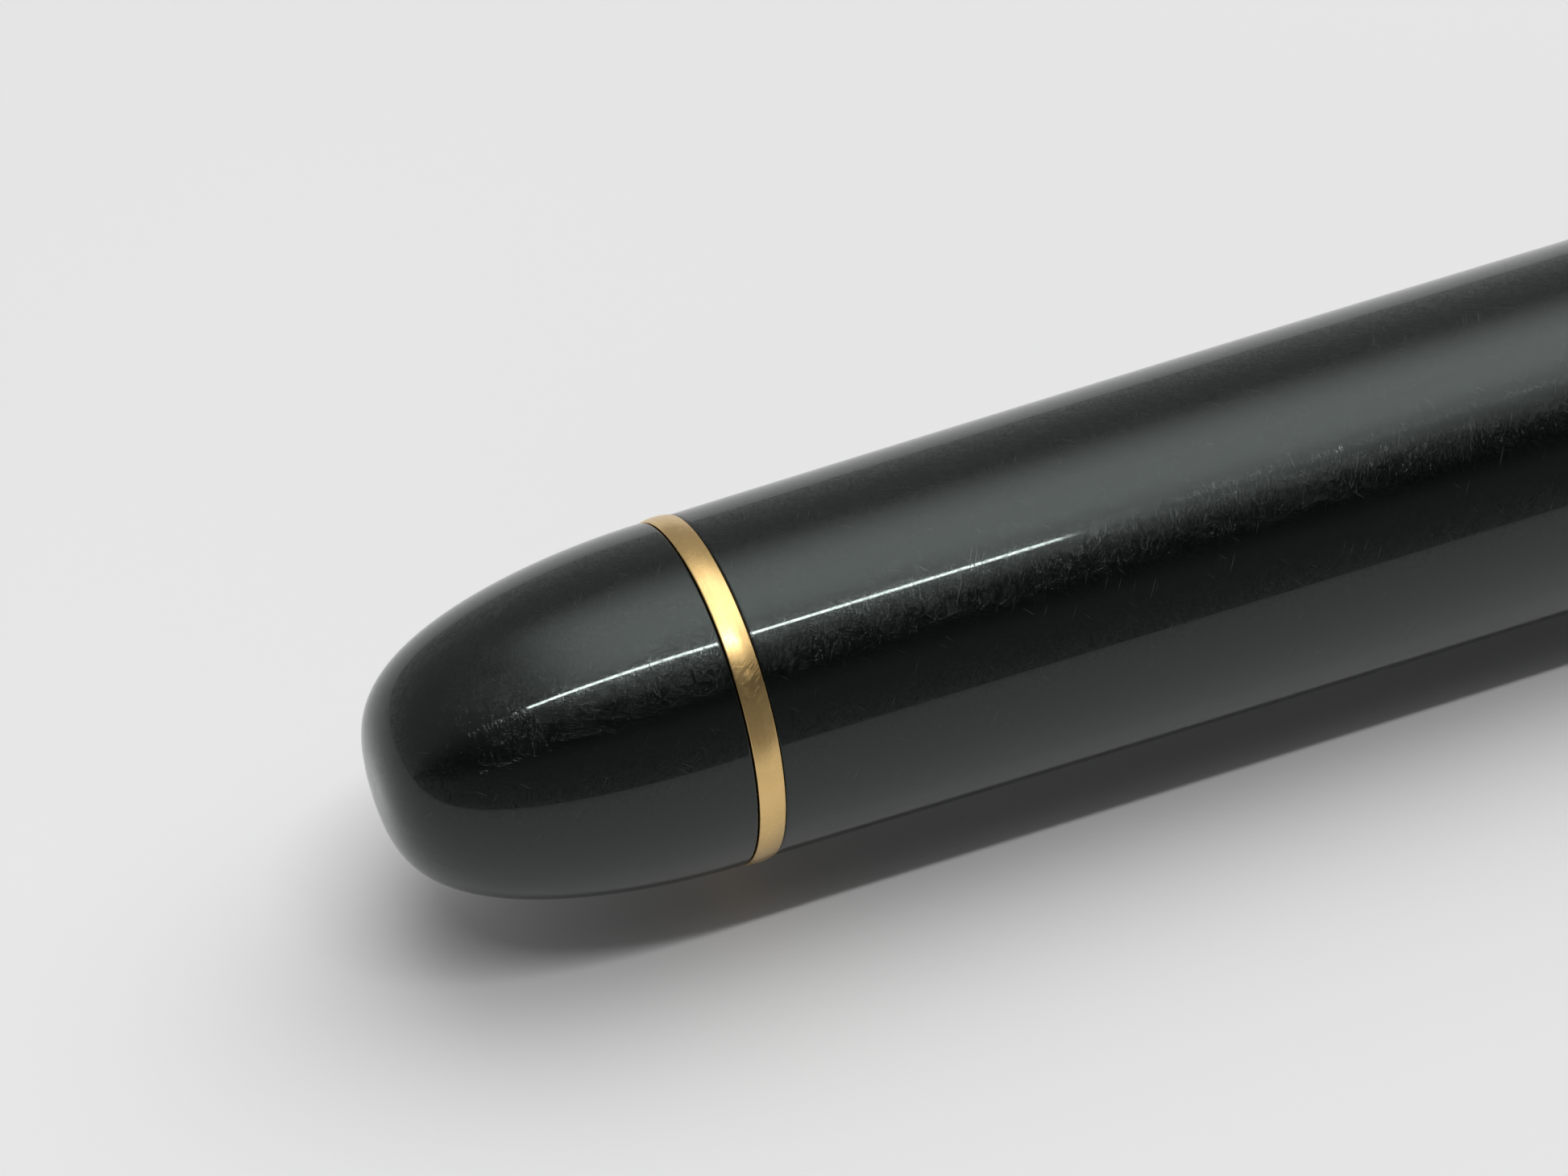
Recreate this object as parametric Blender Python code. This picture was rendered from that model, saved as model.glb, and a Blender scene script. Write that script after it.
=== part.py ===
"""A capped rollerball pen, lying on its side as it rests on a table.

The pen's axis runs along X: the domed tail of the barrel points to -X and the crown of the cap to +X.
The origin is the point of the table under the middle of the cap's broad band, which is the widest part.
The pen has rolled until the drop at the end of its clip touches the table too. The pieces are turned about
the axis, apart from the clip arm, the two springs and the two screw threads. A standard refill sets the
length of the pen.
"""

import math

import bmesh
import bpy
from mathutils import Vector

MM = 0.001

# How finely the round pieces are faceted, and the clearances between pieces.
SIDES = 32                    # facets of a piece that shows
INNER_SIDES = 24              # facets of a piece inside
SEAT = 0.05 * MM              # between two pieces that are pressed, glued or screwed together
RUNNING = 0.10 * MM           # round a piece that turns or slides in another

# Refill: a standard rollerball refill of the long, slim kind.
REFILL_LENGTH = 110.5 * MM
REFILL_RADIUS = 3.05 * MM
REFILL_WALL = 0.30 * MM
REFILL_FRONT_LENGTH = 34.0 * MM   # from the shoulder of its tube to the ball
REFILL_NOSE_RADIUS = 2.20 * MM
REFILL_NOSE_TAPER = 2.2 * MM      # length of the nose's tapered front
REFILL_SPIGOT_LENGTH = 4.0 * MM   # how far the nose and the plug reach into the tube
REFILL_ROOM = 0.40 * MM           # round the tube, in the barrel and the grip
PLUG_LENGTH = 1.5 * MM
PLUG_VENT_RADIUS = 0.6 * MM
RESERVOIR_LENGTH = 62.0 * MM
FEED_RADIUS = 0.50 * MM
TIP_RADIUS = 1.15 * MM
TIP_SHANK_WALL = 0.26 * MM        # of the part that is pressed into the nose
TIP_SHANK_BORE_LENGTH = 4.5 * MM
INK_HOLE_RADIUS = 0.25 * MM
TIP_CONE_LENGTH = 3.0 * MM
TIP_PLAIN_LENGTH = 2.3 * MM
TIP_LENGTH = 9.0 * MM
TIP_RIM_RADIUS = 0.50 * MM
BALL_RADIUS = 0.35 * MM
BALL_SHOWN = 0.22 * MM            # how far the ball stands out of the rim
BALL_CLEARANCE = 0.03 * MM

# Front section: the grip, its threaded collar, the nose cone and the trim ring behind it.
GRIP_LENGTH = 33.0 * MM
GRIP_UNDERCUT = 0.20 * MM         # of the grip's rear, below the barrel's neck
GRIP_WAIST_RADIUS = 4.55 * MM
GRIP_LIP_RADIUS = 4.75 * MM
GRIP_LIP_LENGTH = 2.4 * MM
GRIP_POINTS = 6                   # along the curve of its side
SNAP_RIDGE_HEIGHT = 0.12 * MM
SNAP_RIDGE_HALF_WIDTH = 0.3 * MM
SNAP_RIDGE_HALF_LENGTH = 1.2 * MM # with its slopes
SNAP_RIDGE_PLACE = 3.2 * MM       # behind the front of the trim ring
NOSE_LENGTH = 5.6 * MM
NOSE_REAR_RADIUS = 4.50 * MM
NOSE_FRONT_RADIUS = 1.75 * MM
NOSE_SPIGOT_LENGTH = 4.0 * MM
NOSE_SPIGOT_WALL = 0.60 * MM
NOSE_TIP_ROOM = 0.20 * MM         # round the tip, in the nose cone
NOSE_RIM = 0.4 * MM               # straight edge at the cone's base
NOSE_POINTS = 5
TIP_SHOWN = 3.4 * MM              # how far the tip stands out of the nose cone
TRIM_RING_WIDTH = 1.0 * MM
TRIM_RING_UNDERCUT = 0.15 * MM    # of the ring, below the barrel's neck
COLLAR_WALL = 0.85 * MM
COLLAR_SETBACK = 1.5 * MM         # of the collar's front behind the refill's shoulder
REFILL_END_ROOM = 0.30 * MM       # between the refill's shoulder and the step in the grip

# Screw thread between the collar and the bush in the barrel.
THREAD_PITCH = 0.75 * MM
THREAD_TURNS = 9
THREAD_DEPTH = 0.26 * MM
THREAD_ROWS = 4                   # rows of points to one pitch
THREAD_RELIEF = 1.2 * MM          # plain length at each end of the thread
BUSH_WALL = 0.30 * MM             # outside the thread's root

# Barrel, and the domed tail with its ring.
BARREL_TAIL_RADIUS = 5.50 * MM
BARREL_SHOULDER = 0.25 * MM       # step from the neck, which the cap covers, to the barrel's side
BARREL_NECK_WALL = 0.68 * MM      # round the bush
BARREL_NECK_LENGTH = 4.2 * MM
BARREL_POINTS = 8                 # along the bulge of its side
TAIL_RING_WIDTH = 0.80 * MM
TAIL_RING_CROWN = 0.07 * MM       # how far the ring stands proud of the resin
TAIL_SPIGOT_RADIUS = 4.20 * MM
TAIL_SPIGOT_LENGTH = 4.0 * MM
TAIL_DOME_LENGTH = 10.1 * MM
DOME_AXIAL_POWER = 1.8            # the dome's outline is a superellipse
DOME_RADIAL_POWER = 3.2
DOME_POINTS = 9

# Tail spring, which presses the refill forward.
SPRING_LENGTH = 4.6 * MM
SPRING_RADIUS = 2.15 * MM         # to the middle of the wire
SPRING_WIRE = 0.22 * MM           # half the wire's thickness
SPRING_TURNS = 4.5
SPRING_STEPS = 14                 # to one turn
SPRING_ROOM = 0.28 * MM           # round the spring, in its pocket

# Cap: the shell, the bands on its seat, the lip that holds them and the snap ring.
CAP_MOUTH_WALL = 0.50 * MM        # under the bands
CAP_TOP_WALL = 0.60 * MM          # round the inner cap
CAP_POINTS = 6
BAND_THICKNESS = 0.40 * MM
NARROW_BAND_UNDERCUT = 0.05 * MM  # of the narrow bands, below the broad one
SPACER_UNDERCUT = 0.15 * MM       # of the resin rings and the shell, below the broad band
LIP_LENGTH = 1.7 * MM
LIP_THICKNESS = 0.20 * MM
BAND_BEVEL = 0.12 * MM            # also round the grip's lip
NARROW_BAND_WIDTH = 0.8 * MM
BROAD_BAND_WIDTH = 4.2 * MM
SPACER_WIDTH = 0.55 * MM
SNAP_RING_SET = 1.3 * MM          # in front of the middle of the ridge
SNAP_RING_WIDTH = 1.8 * MM
SNAP_RING_DEPTH = 0.28 * MM
SNAP_RING_GAP_DEG = 30.0
CAP_WEB = 1.2 * MM

# Inner cap, which seals the tip, and the stud that holds the crown.
INNER_CAP_WALL = 0.55 * MM
INNER_CAP_FLOOR = 0.8 * MM
INNER_CAP_ROOM = 0.40 * MM        # round the grip's lip
INNER_CAP_OVERLAP = 7.8 * MM      # how far the inner cap reaches over the grip
TIP_ROOM = 5.5 * MM               # free length ahead of the ball
STUD_RADIUS = 1.6 * MM
STUD_HEAD_RADIUS = 3.2 * MM
STUD_HEAD_LENGTH = 0.8 * MM
STUD_DEPTH = 4.5 * MM             # its length in the crown

# Crown, clip ring and clip arm.
CLIP_RING_WIDTH = 1.5 * MM
CLIP_RING_PROUD = 0.12 * MM
CROWN_DOME_LENGTH = 10.1 * MM
CROWN_SPIGOT_RADIUS = 4.3 * MM
CLIP_LENGTH = 40.0 * MM           # from the ring's middle to the drop's middle
CLIP_STANDOFF = 1.35 * MM         # gap under the arm, at the ring's end
CLIP_ROOT_HALF_WIDTH = 1.75 * MM
CLIP_NECK_HALF_WIDTH = 1.00 * MM
CLIP_HALF_THICKNESS = 0.55 * MM
CLIP_DROP_RADIUS = 1.65 * MM
CLIP_DROP_HALF_LENGTH = 2.6 * MM
CLIP_DROP_GAP = 0.15 * MM         # between the drop and the cap
CLIP_FOOT_GAP = 0.12 * MM         # between the arm's foot and the ring
CLIP_FOOT_LENGTH = 0.3 * MM       # the straight part of the foot, below the bend
CLIP_SQUARENESS = 0.7
CLIP_SECTION_POINTS = 12
CLIP_BEND_STEPS = 5
CLIP_ARM_STEPS = 5
CLIP_DROP_STEPS = 7

# Places along the axis, from the middle of the broad band.
LIP_X = -(LIP_LENGTH + NARROW_BAND_WIDTH + SPACER_WIDTH + BROAD_BAND_WIDTH / 2 + 3 * SEAT)
BARREL_FRONT_X = LIP_X + BARREL_NECK_LENGTH
TRIM_X = BARREL_FRONT_X + SEAT
GRIP_REAR_X = TRIM_X + TRIM_RING_WIDTH + SEAT
GRIP_FRONT_X = GRIP_REAR_X + GRIP_LENGTH
NOSE_X = GRIP_FRONT_X + SEAT
BALL_TOP_X = NOSE_X + NOSE_LENGTH + TIP_SHOWN
SHOULDER_X = BALL_TOP_X - REFILL_FRONT_LENGTH
REFILL_REAR_X = BALL_TOP_X - REFILL_LENGTH
REFILL_NOSE_X = BALL_TOP_X - TIP_CONE_LENGTH - TIP_PLAIN_LENGTH
POCKET_FLOOR_X = REFILL_REAR_X - SPRING_LENGTH - 2 * SEAT
TAIL_SPIGOT_X = REFILL_REAR_X - RUNNING - SEAT
BARREL_REAR_X = TAIL_SPIGOT_X - TAIL_SPIGOT_LENGTH
TAIL_FACE_X = BARREL_REAR_X - TAIL_RING_WIDTH - 2 * SEAT
FLOOR_X = BALL_TOP_X + TIP_ROOM + STUD_HEAD_LENGTH + SEAT
WEB_X = FLOOR_X + INNER_CAP_FLOOR + SEAT
CLIP_RING_X = WEB_X + CAP_WEB + SEAT
CROWN_X = CLIP_RING_X + CLIP_RING_WIDTH + SEAT
INNER_MOUTH_X = GRIP_FRONT_X - INNER_CAP_OVERLAP
COLLAR_FRONT_X = SHOULDER_X - COLLAR_SETBACK
RIDGE_X = GRIP_REAR_X + SNAP_RIDGE_PLACE
SNAP_RING_X = RIDGE_X + SNAP_RING_SET
WAIST_REAR_X = RIDGE_X + SNAP_RIDGE_HALF_LENGTH
WAIST_FRONT_X = GRIP_FRONT_X - GRIP_LIP_LENGTH

# Radii that follow from the pieces inside.
CAVITY_RADIUS = REFILL_RADIUS + REFILL_ROOM
SPRING_POCKET_RADIUS = SPRING_RADIUS + SPRING_WIRE + SPRING_ROOM
NOSE_BORE_RADIUS = REFILL_NOSE_RADIUS + REFILL_ROOM
COLLAR_RADIUS = CAVITY_RADIUS + COLLAR_WALL
TIP_SHANK_RADIUS = FEED_RADIUS + RUNNING + TIP_SHANK_WALL
THREAD_CREST_RADIUS = COLLAR_RADIUS + THREAD_DEPTH
BUSH_BORE_RADIUS = THREAD_CREST_RADIUS + RUNNING
BUSH_RADIUS = BUSH_BORE_RADIUS + THREAD_DEPTH + BUSH_WALL
BARREL_NECK_RADIUS = BUSH_RADIUS + SEAT + BARREL_NECK_WALL
BARREL_MOUTH_RADIUS = BARREL_NECK_RADIUS + BARREL_SHOULDER
GRIP_REAR_RADIUS = BARREL_NECK_RADIUS - GRIP_UNDERCUT
TRIM_RING_RADIUS = BARREL_NECK_RADIUS - TRIM_RING_UNDERCUT
CAP_BORE_RADIUS = BARREL_NECK_RADIUS + RUNNING
BAND_SEAT_RADIUS = CAP_BORE_RADIUS + CAP_MOUTH_WALL
BAND_RADIUS = BAND_SEAT_RADIUS + BAND_THICKNESS
NARROW_BAND_RADIUS = BAND_RADIUS - NARROW_BAND_UNDERCUT
CAP_MOUTH_RADIUS = BAND_RADIUS - SPACER_UNDERCUT
LIP_RADIUS = BAND_SEAT_RADIUS + LIP_THICKNESS
GRIP_MOUTH_SHARE = (WAIST_FRONT_X - INNER_MOUTH_X) / (WAIST_FRONT_X - WAIST_REAR_X)
GRIP_MOUTH_RADIUS = GRIP_REAR_RADIUS - (GRIP_REAR_RADIUS - GRIP_WAIST_RADIUS) * (1 - GRIP_MOUTH_SHARE) ** 2
INNER_CAP_BORE_RADIUS = max(GRIP_LIP_RADIUS + INNER_CAP_ROOM, GRIP_MOUTH_RADIUS + RUNNING)
SNAP_RIDGE_RADIUS = GRIP_REAR_RADIUS + SNAP_RIDGE_HEIGHT
SNAP_RING_INNER_RADIUS = SNAP_RIDGE_RADIUS + RUNNING
INNER_CAP_RADIUS = INNER_CAP_BORE_RADIUS + INNER_CAP_WALL
CAP_TOP_RADIUS = INNER_CAP_RADIUS + SEAT + CAP_TOP_WALL
CLIP_RING_RADIUS = CAP_TOP_RADIUS + CLIP_RING_PROUD
THREAD_LENGTH = THREAD_TURNS * THREAD_PITCH
BUSH_LENGTH = THREAD_LENGTH + 2 * THREAD_RELIEF

AXIS_HEIGHT = BAND_RADIUS * math.cos(math.pi / SIDES)   # a facet of the broad band lies flat on the table
CLIP_DROP_CENTRE = CAP_MOUTH_RADIUS + CLIP_DROP_GAP + CLIP_DROP_RADIUS
CLIP_ANGLE = math.pi - math.acos((AXIS_HEIGHT - CLIP_DROP_RADIUS - SEAT) / CLIP_DROP_CENTRE)


def material(name, colour, roughness, metallic=0.0):
    made = bpy.data.materials.get(name) or bpy.data.materials.new(name)
    made.use_nodes = True
    made.diffuse_color = (*colour, 1.0)
    shader = made.node_tree.nodes["Principled BSDF"]
    shader.inputs["Base Color"].default_value = (*colour, 1.0)
    shader.inputs["Roughness"].default_value = roughness
    shader.inputs["Metallic"].default_value = metallic
    return made


def black_resin():
    return material("black_resin", (0.006, 0.007, 0.007), 0.08)


def gold_plate():
    return material("gold_plate", (0.83, 0.58, 0.24), 0.16, 1.0)


def brass():
    return material("brass", (0.70, 0.52, 0.22), 0.30, 1.0)


def steel():
    return material("steel", (0.62, 0.62, 0.63), 0.28, 1.0)


def refill_metal():
    return material("refill_metal", (0.55, 0.56, 0.58), 0.35, 1.0)


def white_plastic():
    return material("white_plastic", (0.72, 0.72, 0.70), 0.40)


def black_plastic():
    return material("black_plastic", (0.02, 0.02, 0.02), 0.45)


def ink_fibre():
    return material("ink_fibre", (0.03, 0.03, 0.06), 0.90)


def body(name, place, parent=None, turn=0.0):
    """An empty on a joint's axis, which carries the pieces that move together."""
    empty = bpy.data.objects.new(name, None)
    bpy.context.scene.collection.objects.link(empty)
    empty.parent = parent
    empty.location = place
    empty.rotation_euler = (turn, 0.0, 0.0)
    return empty


def finished(name, mesh, finish, carrier):
    """Closes the mesh, shades it, and hangs it on the body that carries it."""
    bmesh.ops.remove_doubles(mesh, verts=mesh.verts, dist=0.0005 * MM)
    bmesh.ops.recalc_face_normals(mesh, faces=mesh.faces)
    data = bpy.data.meshes.new(name)
    mesh.to_mesh(data)
    mesh.free()
    data.materials.append(finish)
    data.shade_smooth()
    data.set_sharp_from_angle(angle=math.radians(30))
    piece = bpy.data.objects.new(name, data)
    bpy.context.scene.collection.objects.link(piece)
    piece.parent = carrier
    return piece


def along(carrier, x):
    """A place on the pen's axis, as the body that carries the piece sees it."""
    return x - carrier["axis_x"]


def turned(name, outline, finish, carrier, sides=SIDES, sweep=2 * math.pi):
    """Spins an outline of (x, radius) points about the pen's axis, with a facet at the bottom."""
    mesh = bmesh.new()
    start = math.pi / sides
    points = [
        mesh.verts.new((along(carrier, x), r * math.sin(start), -r * math.cos(start)))
        for x, r in outline
    ]
    face = mesh.faces.new(points)
    whole = sweep >= 2 * math.pi
    if whole:
        edges = list(face.edges)
        mesh.faces.remove(face)
        edges = [e for e in edges if any(v.co.yz.length > 0 for v in e.verts)]
        for e in list(mesh.edges):
            if e not in edges:
                mesh.edges.remove(e)
        spun = edges
    else:
        spun = [face]
    bmesh.ops.spin(
        mesh, geom=spun, cent=(0, 0, 0), axis=(1, 0, 0), angle=sweep, steps=sides, use_merge=whole
    )
    return finished(name, mesh, finish, carrier)


def dome(base_x, base_radius, length):
    """Outline of a blunt dome from its base to its tip, on the axis. A negative length points to -X."""
    outline = []
    for i in range(DOME_POINTS):
        share = math.sin(i / DOME_POINTS * math.pi / 2)
        radius = base_radius * (1 - share**DOME_AXIAL_POWER) ** (1 / DOME_RADIAL_POWER)
        outline.append((base_x + length * share, radius))
    return [*outline, (base_x + length, 0.0)]


def bulged(x0, r0, x1, r1, points):
    """Outline that leaves (x0, r0) at its steepest and runs out level at (x1, r1)."""
    outline = []
    for i in range(points + 1):
        t = i / points
        outline.append((x0 + t * (x1 - x0), r0 + (r1 - r0) * (1 - (1 - t) ** 2)))
    return outline


def cap_radius(x):
    """Outside radius of the cap shell, from above its bands to its top."""
    start = cap_shell_start()
    top = WEB_X + CAP_WEB
    t = max(0.0, min(1.0, (top - x) / (top - start)))
    return CAP_TOP_RADIUS + (CAP_MOUTH_RADIUS - CAP_TOP_RADIUS) * (1 - (1 - t) ** 2)


def cap_shell_start():
    """Where the cap's full outside begins, above its bands."""
    return BROAD_BAND_WIDTH / 2 + SPACER_WIDTH + NARROW_BAND_WIDTH + 3 * SEAT


def thread_surface(mesh, carrier, x0, base, height, sides):
    """Rows of points along a right-hand helix, as a skin on a cylinder, with a plain ring at each end.

    The thread's height fades in over the first turn and out over the last. A positive height stands out
    of the cylinder, and a negative height is cut into it. Returns the two plain rings.
    """
    rows = THREAD_TURNS * THREAD_ROWS

    def point(x, radius, j):
        angle = math.pi / sides + 2 * math.pi * j / sides
        return mesh.verts.new((along(carrier, x), radius * math.sin(angle), -radius * math.cos(angle)))

    def height_at(i, j):
        turn = i / THREAD_ROWS + j / sides
        fade = max(0.0, min(1.0, turn - 0.5, THREAD_TURNS - 0.5 - turn))
        wave = 0.5 - 0.5 * math.cos(2 * math.pi * i / THREAD_ROWS)
        return height * fade * wave

    grid = [
        [
            point(x0 + (i / THREAD_ROWS + j / sides) * THREAD_PITCH, base + height_at(i, j), j)
            for j in range(sides)
        ]
        for i in range(rows - THREAD_ROWS + 1)
    ]
    last = len(grid) - 1
    for i in range(last):
        for j in range(sides - 1):
            mesh.faces.new((grid[i][j], grid[i][j + 1], grid[i + 1][j + 1], grid[i + 1][j]))
    for i in range(last - THREAD_ROWS):
        turn = i + THREAD_ROWS
        mesh.faces.new((grid[i][-1], grid[turn][0], grid[turn + 1][0], grid[i + 1][-1]))
    rear = [point(x0 - THREAD_RELIEF, base, j) for j in range(sides)]
    front = [point(x0 + THREAD_LENGTH + THREAD_RELIEF, base, j) for j in range(sides)]
    for j in range(sides - 1):
        mesh.faces.new((rear[j], rear[j + 1], grid[0][j + 1], grid[0][j]))
        mesh.faces.new((front[j + 1], front[j], grid[last][j], grid[last][j + 1]))
    start_step = [grid[i][0] for i in range(THREAD_ROWS, -1, -1)]
    mesh.faces.new([rear[-1], grid[0][-1], *start_step, rear[0]][::-1])
    end_step = [grid[i][-1] for i in range(last - THREAD_ROWS, last + 1)]
    mesh.faces.new([front[0], grid[last][0], *end_step, front[-1]][::-1])
    return rear, front


def threaded_sleeve(name, finish, carrier, x0, base, height, outline, sides):
    """A sleeve with a thread on one side. The outline runs from the thread's front end to its rear end."""
    mesh = bmesh.new()
    rear, front = thread_surface(mesh, carrier, x0, base, height, sides)
    rings = [front]
    for x, r in outline:
        ring = []
        for j in range(sides):
            angle = math.pi / sides + 2 * math.pi * j / sides
            ring.append(mesh.verts.new((along(carrier, x), r * math.sin(angle), -r * math.cos(angle))))
        rings.append(ring)
    rings.append(rear)
    for one, two in zip(rings, rings[1:]):
        for j in range(sides):
            k = (j + 1) % sides
            mesh.faces.new((one[j], one[k], two[k], two[j]))
    return finished(name, mesh, finish, carrier)


def build_barrel(root):
    """Barrel tube, the bush in its mouth, and the domed tail with its ring and spring."""
    bush_rear = BARREL_FRONT_X - BUSH_LENGTH
    outer = bulged(BARREL_REAR_X, BARREL_TAIL_RADIUS, LIP_X - SEAT, BARREL_MOUTH_RADIUS, BARREL_POINTS)
    turned(
        "barrel",
        [
            *outer,
            (LIP_X - SEAT, BARREL_NECK_RADIUS),
            (BARREL_FRONT_X, BARREL_NECK_RADIUS),
            (BARREL_FRONT_X, BUSH_RADIUS + SEAT),
            (bush_rear - SEAT, BUSH_RADIUS + SEAT),
            (bush_rear - SEAT, CAVITY_RADIUS),
            (TAIL_SPIGOT_X + SEAT, CAVITY_RADIUS),
            (TAIL_SPIGOT_X + SEAT, TAIL_SPIGOT_RADIUS + SEAT),
            (BARREL_REAR_X, TAIL_SPIGOT_RADIUS + SEAT),
        ],
        black_resin(),
        root,
    )
    threaded_sleeve(
        "barrel_bush",
        brass(),
        root,
        BARREL_FRONT_X - THREAD_RELIEF - THREAD_LENGTH,
        BUSH_BORE_RADIUS,
        THREAD_DEPTH,
        [(BARREL_FRONT_X, BUSH_RADIUS), (bush_rear, BUSH_RADIUS)],
        INNER_SIDES,
    )
    ring_rear = TAIL_FACE_X + SEAT
    ring_front = ring_rear + TAIL_RING_WIDTH
    ring_edge = BARREL_TAIL_RADIUS + TAIL_RING_CROWN / 2
    turned(
        "tail_ring",
        [
            (ring_rear, TAIL_SPIGOT_RADIUS + SEAT),
            (ring_rear, ring_edge),
            (ring_rear + TAIL_RING_WIDTH / 4, BARREL_TAIL_RADIUS + TAIL_RING_CROWN),
            (ring_front - TAIL_RING_WIDTH / 4, BARREL_TAIL_RADIUS + TAIL_RING_CROWN),
            (ring_front, ring_edge),
            (ring_front, TAIL_SPIGOT_RADIUS + SEAT),
        ],
        gold_plate(),
        root,
    )
    turned(
        "tail_dome",
        [
            *reversed(dome(TAIL_FACE_X, BARREL_TAIL_RADIUS, -TAIL_DOME_LENGTH)),
            (TAIL_FACE_X, TAIL_SPIGOT_RADIUS),
            (TAIL_SPIGOT_X, TAIL_SPIGOT_RADIUS),
            (TAIL_SPIGOT_X, SPRING_POCKET_RADIUS),
            (POCKET_FLOOR_X, SPRING_POCKET_RADIUS),
            (POCKET_FLOOR_X, 0.0),
        ],
        black_resin(),
        root,
    )
    build_spring(root)


def build_spring(root):
    """Compression spring in the tail: a round wire wound on a helix, its two end turns closed up."""
    mesh = bmesh.new()
    wire_sides = 6
    steps = int(SPRING_TURNS * SPRING_STEPS)
    rise = SPRING_LENGTH - 2 * SPRING_WIRE
    rings = []
    for i in range(steps + 1):
        t = i / steps
        angle = 2 * math.pi * SPRING_TURNS * t
        x = along(root, POCKET_FLOOR_X + SEAT + SPRING_WIRE + rise * t)
        out = Vector((0, math.sin(angle), -math.cos(angle)))
        centre = Vector((x, 0, 0)) + SPRING_RADIUS * out
        turns = [2 * math.pi * k / wire_sides for k in range(wire_sides)]
        ring = []
        for a in turns:
            side = Vector((math.sin(a), 0, 0))
            ring.append(mesh.verts.new(centre + SPRING_WIRE * (out * math.cos(a) + side)))
        rings.append(ring)
    for one, two in zip(rings, rings[1:]):
        for k in range(wire_sides):
            m = (k + 1) % wire_sides
            mesh.faces.new((one[k], one[m], two[m], two[k]))
    mesh.faces.new(rings[0])
    mesh.faces.new(rings[-1])
    return finished("tail_spring", mesh, steel(), root)


def build_refill(refill, ball):
    """The refill: tube, plug, ink fibre, feed rod, nose, metal tip and the ball that turns in it."""
    bore = REFILL_RADIUS - REFILL_WALL
    tube_rear = REFILL_REAR_X + PLUG_LENGTH + SEAT
    turned(
        "refill_tube",
        [
            (tube_rear, bore),
            (tube_rear, REFILL_RADIUS),
            (SHOULDER_X, REFILL_RADIUS),
            (SHOULDER_X, bore),
        ],
        refill_metal(),
        refill,
        INNER_SIDES,
    )
    plug_front = REFILL_REAR_X + PLUG_LENGTH + REFILL_SPIGOT_LENGTH
    turned(
        "refill_plug",
        [
            (REFILL_REAR_X, PLUG_VENT_RADIUS),
            (REFILL_REAR_X, REFILL_RADIUS),
            (REFILL_REAR_X + PLUG_LENGTH, REFILL_RADIUS),
            (REFILL_REAR_X + PLUG_LENGTH, bore - SEAT),
            (plug_front, bore - SEAT),
            (plug_front, PLUG_VENT_RADIUS),
        ],
        black_plastic(),
        refill,
        INNER_SIDES,
    )
    nose_rear = SHOULDER_X - REFILL_SPIGOT_LENGTH
    tip_rear = BALL_TOP_X - TIP_LENGTH
    reservoir_front = nose_rear - SEAT
    turned(
        "ink_reservoir",
        [
            (reservoir_front - RESERVOIR_LENGTH, 0.0),
            (reservoir_front - RESERVOIR_LENGTH, bore - RUNNING),
            (reservoir_front, bore - RUNNING),
            (reservoir_front, 0.0),
        ],
        ink_fibre(),
        refill,
        INNER_SIDES,
    )
    turned(
        "feed_rod",
        [
            (reservoir_front + SEAT, 0.0),
            (reservoir_front + SEAT, FEED_RADIUS),
            (tip_rear + TIP_SHANK_BORE_LENGTH, FEED_RADIUS),
            (tip_rear + TIP_SHANK_BORE_LENGTH, 0.0),
        ],
        ink_fibre(),
        refill,
        12,
    )
    turned(
        "refill_nose",
        [
            (nose_rear, FEED_RADIUS + RUNNING),
            (nose_rear, bore - SEAT),
            (SHOULDER_X + SEAT, bore - SEAT),
            (SHOULDER_X + SEAT, REFILL_NOSE_RADIUS),
            (REFILL_NOSE_X - REFILL_NOSE_TAPER, REFILL_NOSE_RADIUS),
            (REFILL_NOSE_X, TIP_RADIUS + 2 * SEAT),
            (REFILL_NOSE_X, TIP_SHANK_RADIUS + SEAT),
            (tip_rear - SEAT, TIP_SHANK_RADIUS + SEAT),
            (tip_rear - SEAT, FEED_RADIUS + RUNNING),
        ],
        white_plastic(),
        refill,
        INNER_SIDES,
    )
    ball_x = BALL_TOP_X - BALL_RADIUS
    rim_x = BALL_TOP_X - BALL_SHOWN
    socket = BALL_RADIUS + BALL_CLEARANCE
    socket_rear = ball_x - socket
    turned(
        "writing_tip",
        [
            (tip_rear, FEED_RADIUS + RUNNING),
            (tip_rear, TIP_SHANK_RADIUS),
            (REFILL_NOSE_X + SEAT, TIP_SHANK_RADIUS),
            (REFILL_NOSE_X + SEAT, TIP_RADIUS),
            (BALL_TOP_X - TIP_CONE_LENGTH, TIP_RADIUS),
            (rim_x, TIP_RIM_RADIUS),
            (rim_x, socket),
            (socket_rear, socket),
            (socket_rear, INK_HOLE_RADIUS),
            (tip_rear + TIP_SHANK_BORE_LENGTH + SEAT, INK_HOLE_RADIUS),
            (tip_rear + TIP_SHANK_BORE_LENGTH + SEAT, FEED_RADIUS + RUNNING),
        ],
        steel(),
        refill,
        INNER_SIDES,
    )
    mesh = bmesh.new()
    bmesh.ops.create_icosphere(mesh, subdivisions=2, radius=BALL_RADIUS)
    finished("writing_ball", mesh, steel(), ball)


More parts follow.
